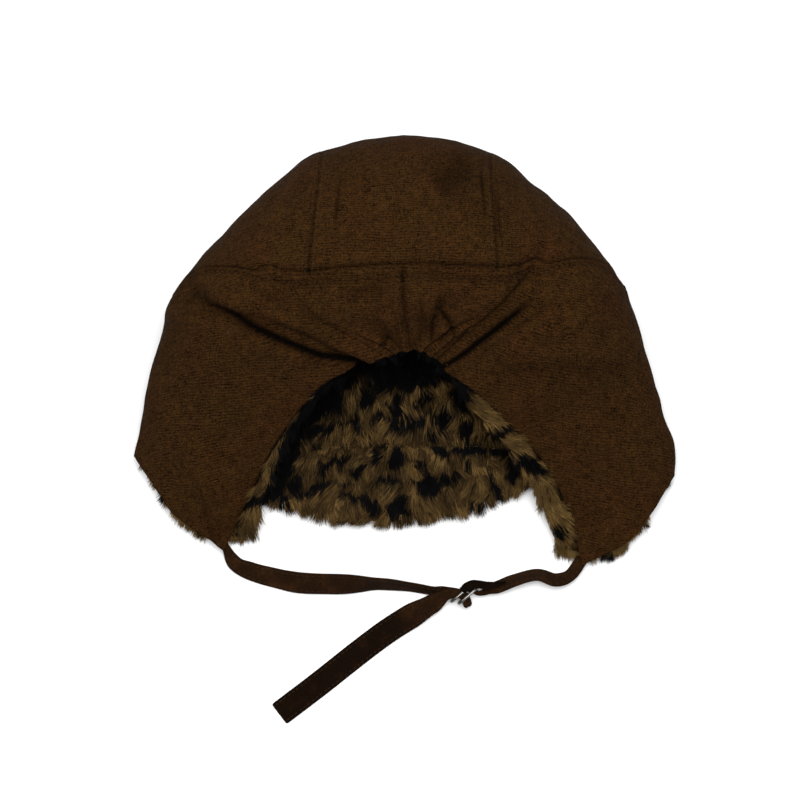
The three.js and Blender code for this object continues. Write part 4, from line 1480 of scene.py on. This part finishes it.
@dataclass
class Strap:
    """A flat strap that follows a table of places, widths and rolls."""

    name: str
    nodes: tuple[str, ...]
    table: tuple[StrapRow, ...]
    steps: int
    columns: int = 8
    steep: float = 0.3  # a level way across counts where the strap is no steeper than this
    narrow: float = 7.0  # no stitches show where it is folded narrower
    # Painted shadow: darkens the whole strap by this share.
    shade: float = 0.0

    def curve(self, t: np.ndarray) -> np.ndarray:
        """Returns places on the centripetal curve through the table's middles."""
        middles = []
        for row in self.table:
            roll = math.radians(row.roll)
            half = (row.wide * STRAP_WIDTH * math.sin(roll) + STRAP_THICKNESS * math.cos(roll)) / 2
            middles.append((row.x, row.y, row.lift + half))
        points = np.array(middles)
        ends = np.vstack((2 * points[0] - points[1], points, 2 * points[-1] - points[-2]))
        place = np.clip(t, 0, 1) * (len(points) - 1)
        first = np.clip(np.floor(place).astype(int), 0, len(points) - 2)
        share = (place - first)[:, None]
        p0, p1, p2, p3 = (ends[first + k] for k in range(4))
        pairs = ((p0, p1), (p1, p2), (p2, p3))
        d0, d1, d2 = (norms(b - a)[:, None] ** 0.5 for a, b in pairs)
        m1 = ((p1 - p0) / d0 - (p2 - p0) / (d0 + d1) + (p2 - p1) / d1) * d1
        m2 = ((p2 - p1) / d1 - (p3 - p1) / (d1 + d2) + (p3 - p2) / d2) * d1
        return cubic(share, p1, m1, p2, m2)

    def between(self, t: np.ndarray, key: str) -> np.ndarray:
        """Returns a column of the table, smooth between its rows."""
        values = np.array([getattr(row, key) for row in self.table], dtype=float)
        return eased(values, t * (len(values) - 1))

    def frames(self, count: int) -> dict[str, np.ndarray]:
        """Returns the middle, across and thickness directions, width and run at even steps."""
        t = np.linspace(0, 1, count)
        at = self.curve(t)
        ahead = unit(self.curve(np.minimum(t + 1e-4, 1)) - self.curve(np.maximum(t - 1e-4, 0)))
        side = None
        across = []
        for k in range(count):
            level = np.cross((0, 0, 1), ahead[k])
            if side is not None and level @ side < 0:
                level = -level
            if side is None or np.linalg.norm(level) > self.steep:
                side = level / np.linalg.norm(level)
            roll = math.radians(self.between(t[k:k + 1], "roll")[0])
            across.append(side * math.cos(roll) + np.cross(ahead[k], side) * math.sin(roll))
        across = unit(np.array(across))
        wide = self.between(t, "wide") * STRAP_WIDTH
        thick = unit(np.cross(ahead, across))
        return {"at": at, "across": across, "thick": thick, "wide": wide, "run": run_along(at)}

    def build(self, finishes: Finishes) -> bpy.types.Object:
        """Bends a grid along the strap and rounds its folded edges."""
        piece, along, across = grid_object(self.name + "_ribbon", self.steps, self.columns)
        frame = self.frames(self.steps + 1)
        k = np.round(along * self.steps).astype(int)
        offset = (across - 0.5) * (frame["wide"][k] - 0.2)
        bow = 0.35 * np.sin(frame["run"][k] * 0.21) * (across - 0.5)
        puff = 0.12 * np.cos(across * 4 * math.pi)
        points = frame["at"][k] + frame["across"][k] * offset[:, None]
        points = points + frame["thick"][k] * (bow + puff)[:, None]
        points[:, 2] = np.maximum(points[:, 2], STRAP_THICKNESS * 0.5)
        place_vertices(piece.data, points)
        keep_pattern(piece.data, np.stack((offset, frame["run"][k]), axis=1) * MM)
        # Darkens the free end below the buckle by up to 0.6, and adds shade, a painted shadow over the
        # whole strap.
        free = 1 - smoothstep(points[:, 0] + points[:, 1] * 0.8, *FREE_END)
        free = free * smoothstep(-points[:, 1], *BELOW_BUCKLE)
        keep_numbers(piece.data, "crease", free * 0.6 + self.shade)
        piece.data.materials.append(finishes.strap)
        thicken(piece, STRAP_THICKNESS * 0.92, 0.0)
        rounding = piece.modifiers.new("rounding", "SUBSURF")
        rounding.levels = 1
        rounding.render_levels = 1
        finish_piece(piece, Slot.STRAP, *self.nodes)
        return piece

    def stitches(self, finishes: Finishes, inset: float = 2.0, pitch: float = 3.0) -> bpy.types.Object:
        """Sews a row along both edges on both faces."""
        frame = self.frames(self.steps * 3 + 1)
        shape = bmesh.new()
        for at in np.arange(2.0, frame["run"][-1] - 1.5, pitch):
            k = min(max(int(np.searchsorted(frame["run"], at)), 1), len(frame["run"]) - 1)
            if frame["wide"][k] < self.narrow:
                continue
            ahead = Vector(frame["at"][k] - frame["at"][k - 1]).normalized()
            side = Vector(frame["across"][k])
            out = ahead.cross(side).normalized()
            for edge in (-1, 1):
                for face in (-1, 1):
                    reach = side * edge * (frame["wide"][k] / 2 - inset)
                    middle = Vector(frame["at"][k]) + reach + out * face * STRAP_THICKNESS * 0.47
                    add_stitch(shape, middle, (ahead, side, out), STRAP_STITCH)
        piece = object_from(shape, self.name + "_stitches", finishes.dark_thread)
        finish_piece(piece, Slot.STRAP)
        return piece


@dataclass
class BuckleRing:
    """One oblong wire ring of the buckle, standing across the strap."""

    name: str
    node: str
    at: tuple[float, float, float]
    wire: float = 0.75
    long: float = 7.3
    short: float = 5.0
    squareness: float = 0.55
    turn: float = 41.0
    steps: int = 64
    sides: int = 12

    def line(self, turn: np.ndarray) -> np.ndarray:
        """Returns places on the ring's middle line, in its own plane."""

        def squared(values: np.ndarray) -> np.ndarray:
            """Returns a circle's coordinates drawn out to its corners."""
            return np.sign(values) * np.abs(values) ** self.squareness

        return np.stack((self.long * squared(np.cos(turn)), self.short * squared(np.sin(turn))), axis=1)

    def build(self, finishes: Finishes) -> bpy.types.Object:
        """Bends a grid round the wire and closes it."""
        piece, along, around = grid_object(self.name, self.steps, self.sides)
        turn = along * 2 * math.pi
        middle = self.line(turn)
        ahead = unit(self.line(turn + 0.05) - self.line(turn - 0.05))
        reach = self.wire * np.cos(around * 2 * math.pi)
        u = middle[:, 0] + ahead[:, 1] * reach
        v = middle[:, 1] - ahead[:, 0] * reach
        w = self.wire * np.sin(around * 2 * math.pi)
        facing = math.radians(self.turn)
        x = self.at[0] + u * math.cos(facing) + w * math.sin(facing)
        y = self.at[1] + u * math.sin(facing) - w * math.cos(facing)
        place_vertices(piece.data, np.stack((x, y, self.at[2] + v), axis=1))
        shape = bmesh.new()
        shape.from_mesh(piece.data)
        bmesh.ops.remove_doubles(shape, verts=shape.verts, dist=1e-6)
        bmesh.ops.recalc_face_normals(shape, faces=shape.faces)
        shape.to_mesh(piece.data)
        shape.free()
        piece.data.materials.append(finishes.nickel)
        finish_piece(piece, Slot.RING, self.node)
        return piece


# Studio


@dataclass
class Studio:
    """A pale floor, soft light from above and the camera of the photograph."""

    eye: tuple[float, float, float] = (-2.8, -56.0, 2000.0)
    lens: float = 157.1
    floor_size: float = 4.0

    def build(self) -> None:
        """Sets the camera, the floor and the lights."""
        scene = bpy.context.scene
        camera = bpy.data.objects.new("camera", bpy.data.cameras.new("camera"))
        camera.data.lens = self.lens
        camera.data.sensor_width = 36
        camera.data.clip_end = 20
        camera.location = Vector(self.eye) * MM
        scene.collection.objects.link(camera)
        scene.camera = camera
        self.build_floor()
        self.light("overhead", (0.05, 0.25, 1.9), 1.3, 56.0)
        self.light("side", (-1.3, 0.6, 1.2), 0.9, 5.0)
        world = bpy.data.worlds.new("studio")
        world.use_nodes = True
        sky = world.node_tree.nodes["Background"].inputs
        sky["Color"].default_value = (1, 1, 1, 1)
        sky["Strength"].default_value = 0.24
        scene.world = world
        scene.view_settings.view_transform = "Standard"

    def build_floor(self) -> None:
        """Lays the floor just under the hat."""
        shape = bmesh.new()
        bmesh.ops.create_grid(shape, x_segments=1, y_segments=1, size=self.floor_size / 2)
        bmesh.ops.translate(shape, verts=shape.verts, vec=(0, 0, -FLOOR_DROP * MM))
        paint = Paint("pale_floor")
        grain = paint.noise(8.0, 2.0)
        paint.coat(paint.shaded((0.9, 0.9, 0.9, 1), 0.98 + grain * 0.04), 0.9)
        floor = object_from(shape, "floor", paint.material)

    def light(self, name: str, at: tuple[float, float, float], size: float, power: float) -> None:
        """Hangs one square soft light that faces the hat."""
        lamp = bpy.data.lights.new(name, "AREA")
        lamp.size = size
        lamp.energy = power
        piece = bpy.data.objects.new(name, lamp)
        piece.location = at
        piece.rotation_euler = (Vector(at) - Vector((0, -0.05, 0.03))).to_track_quat("Z", "Y").to_euler()
        bpy.context.scene.collection.objects.link(piece)


def main() -> None:
    """Builds the hat's looks on the frame."""
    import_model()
    Studio().build()
    form = HatForm()
    finishes = Finishes()
    fur_print = LeopardPrint()
    Shell(form, finishes).build()
    Lining(form, finishes, fur_print).build()
    Visor(form, finishes, fur_print).build()
    for strap in (
        Strap("chin_strap_long", ("strap_long",), STRAP_LONG, 240),
        Strap("chin_strap_short", ("strap_short",), STRAP_SHORT, 90),
    ):
        strap.build(finishes)
        strap.stitches(finishes)
    # The loop over the buckle gets a painted shadow.
    Strap("strap_turn", (), STRAP_TURN, 48, shade=0.75).build(finishes)
    BuckleRing("ring_inner", "buckle_ring_inner", (32.1, -166.4, 5.9)).build(finishes)
    BuckleRing("ring_outer", "buckle_ring_outer", (36.2, -167.5, 5.9)).build(finishes)


if __name__ == "__main__":
    logging.basicConfig(level=logging.INFO)
    main()
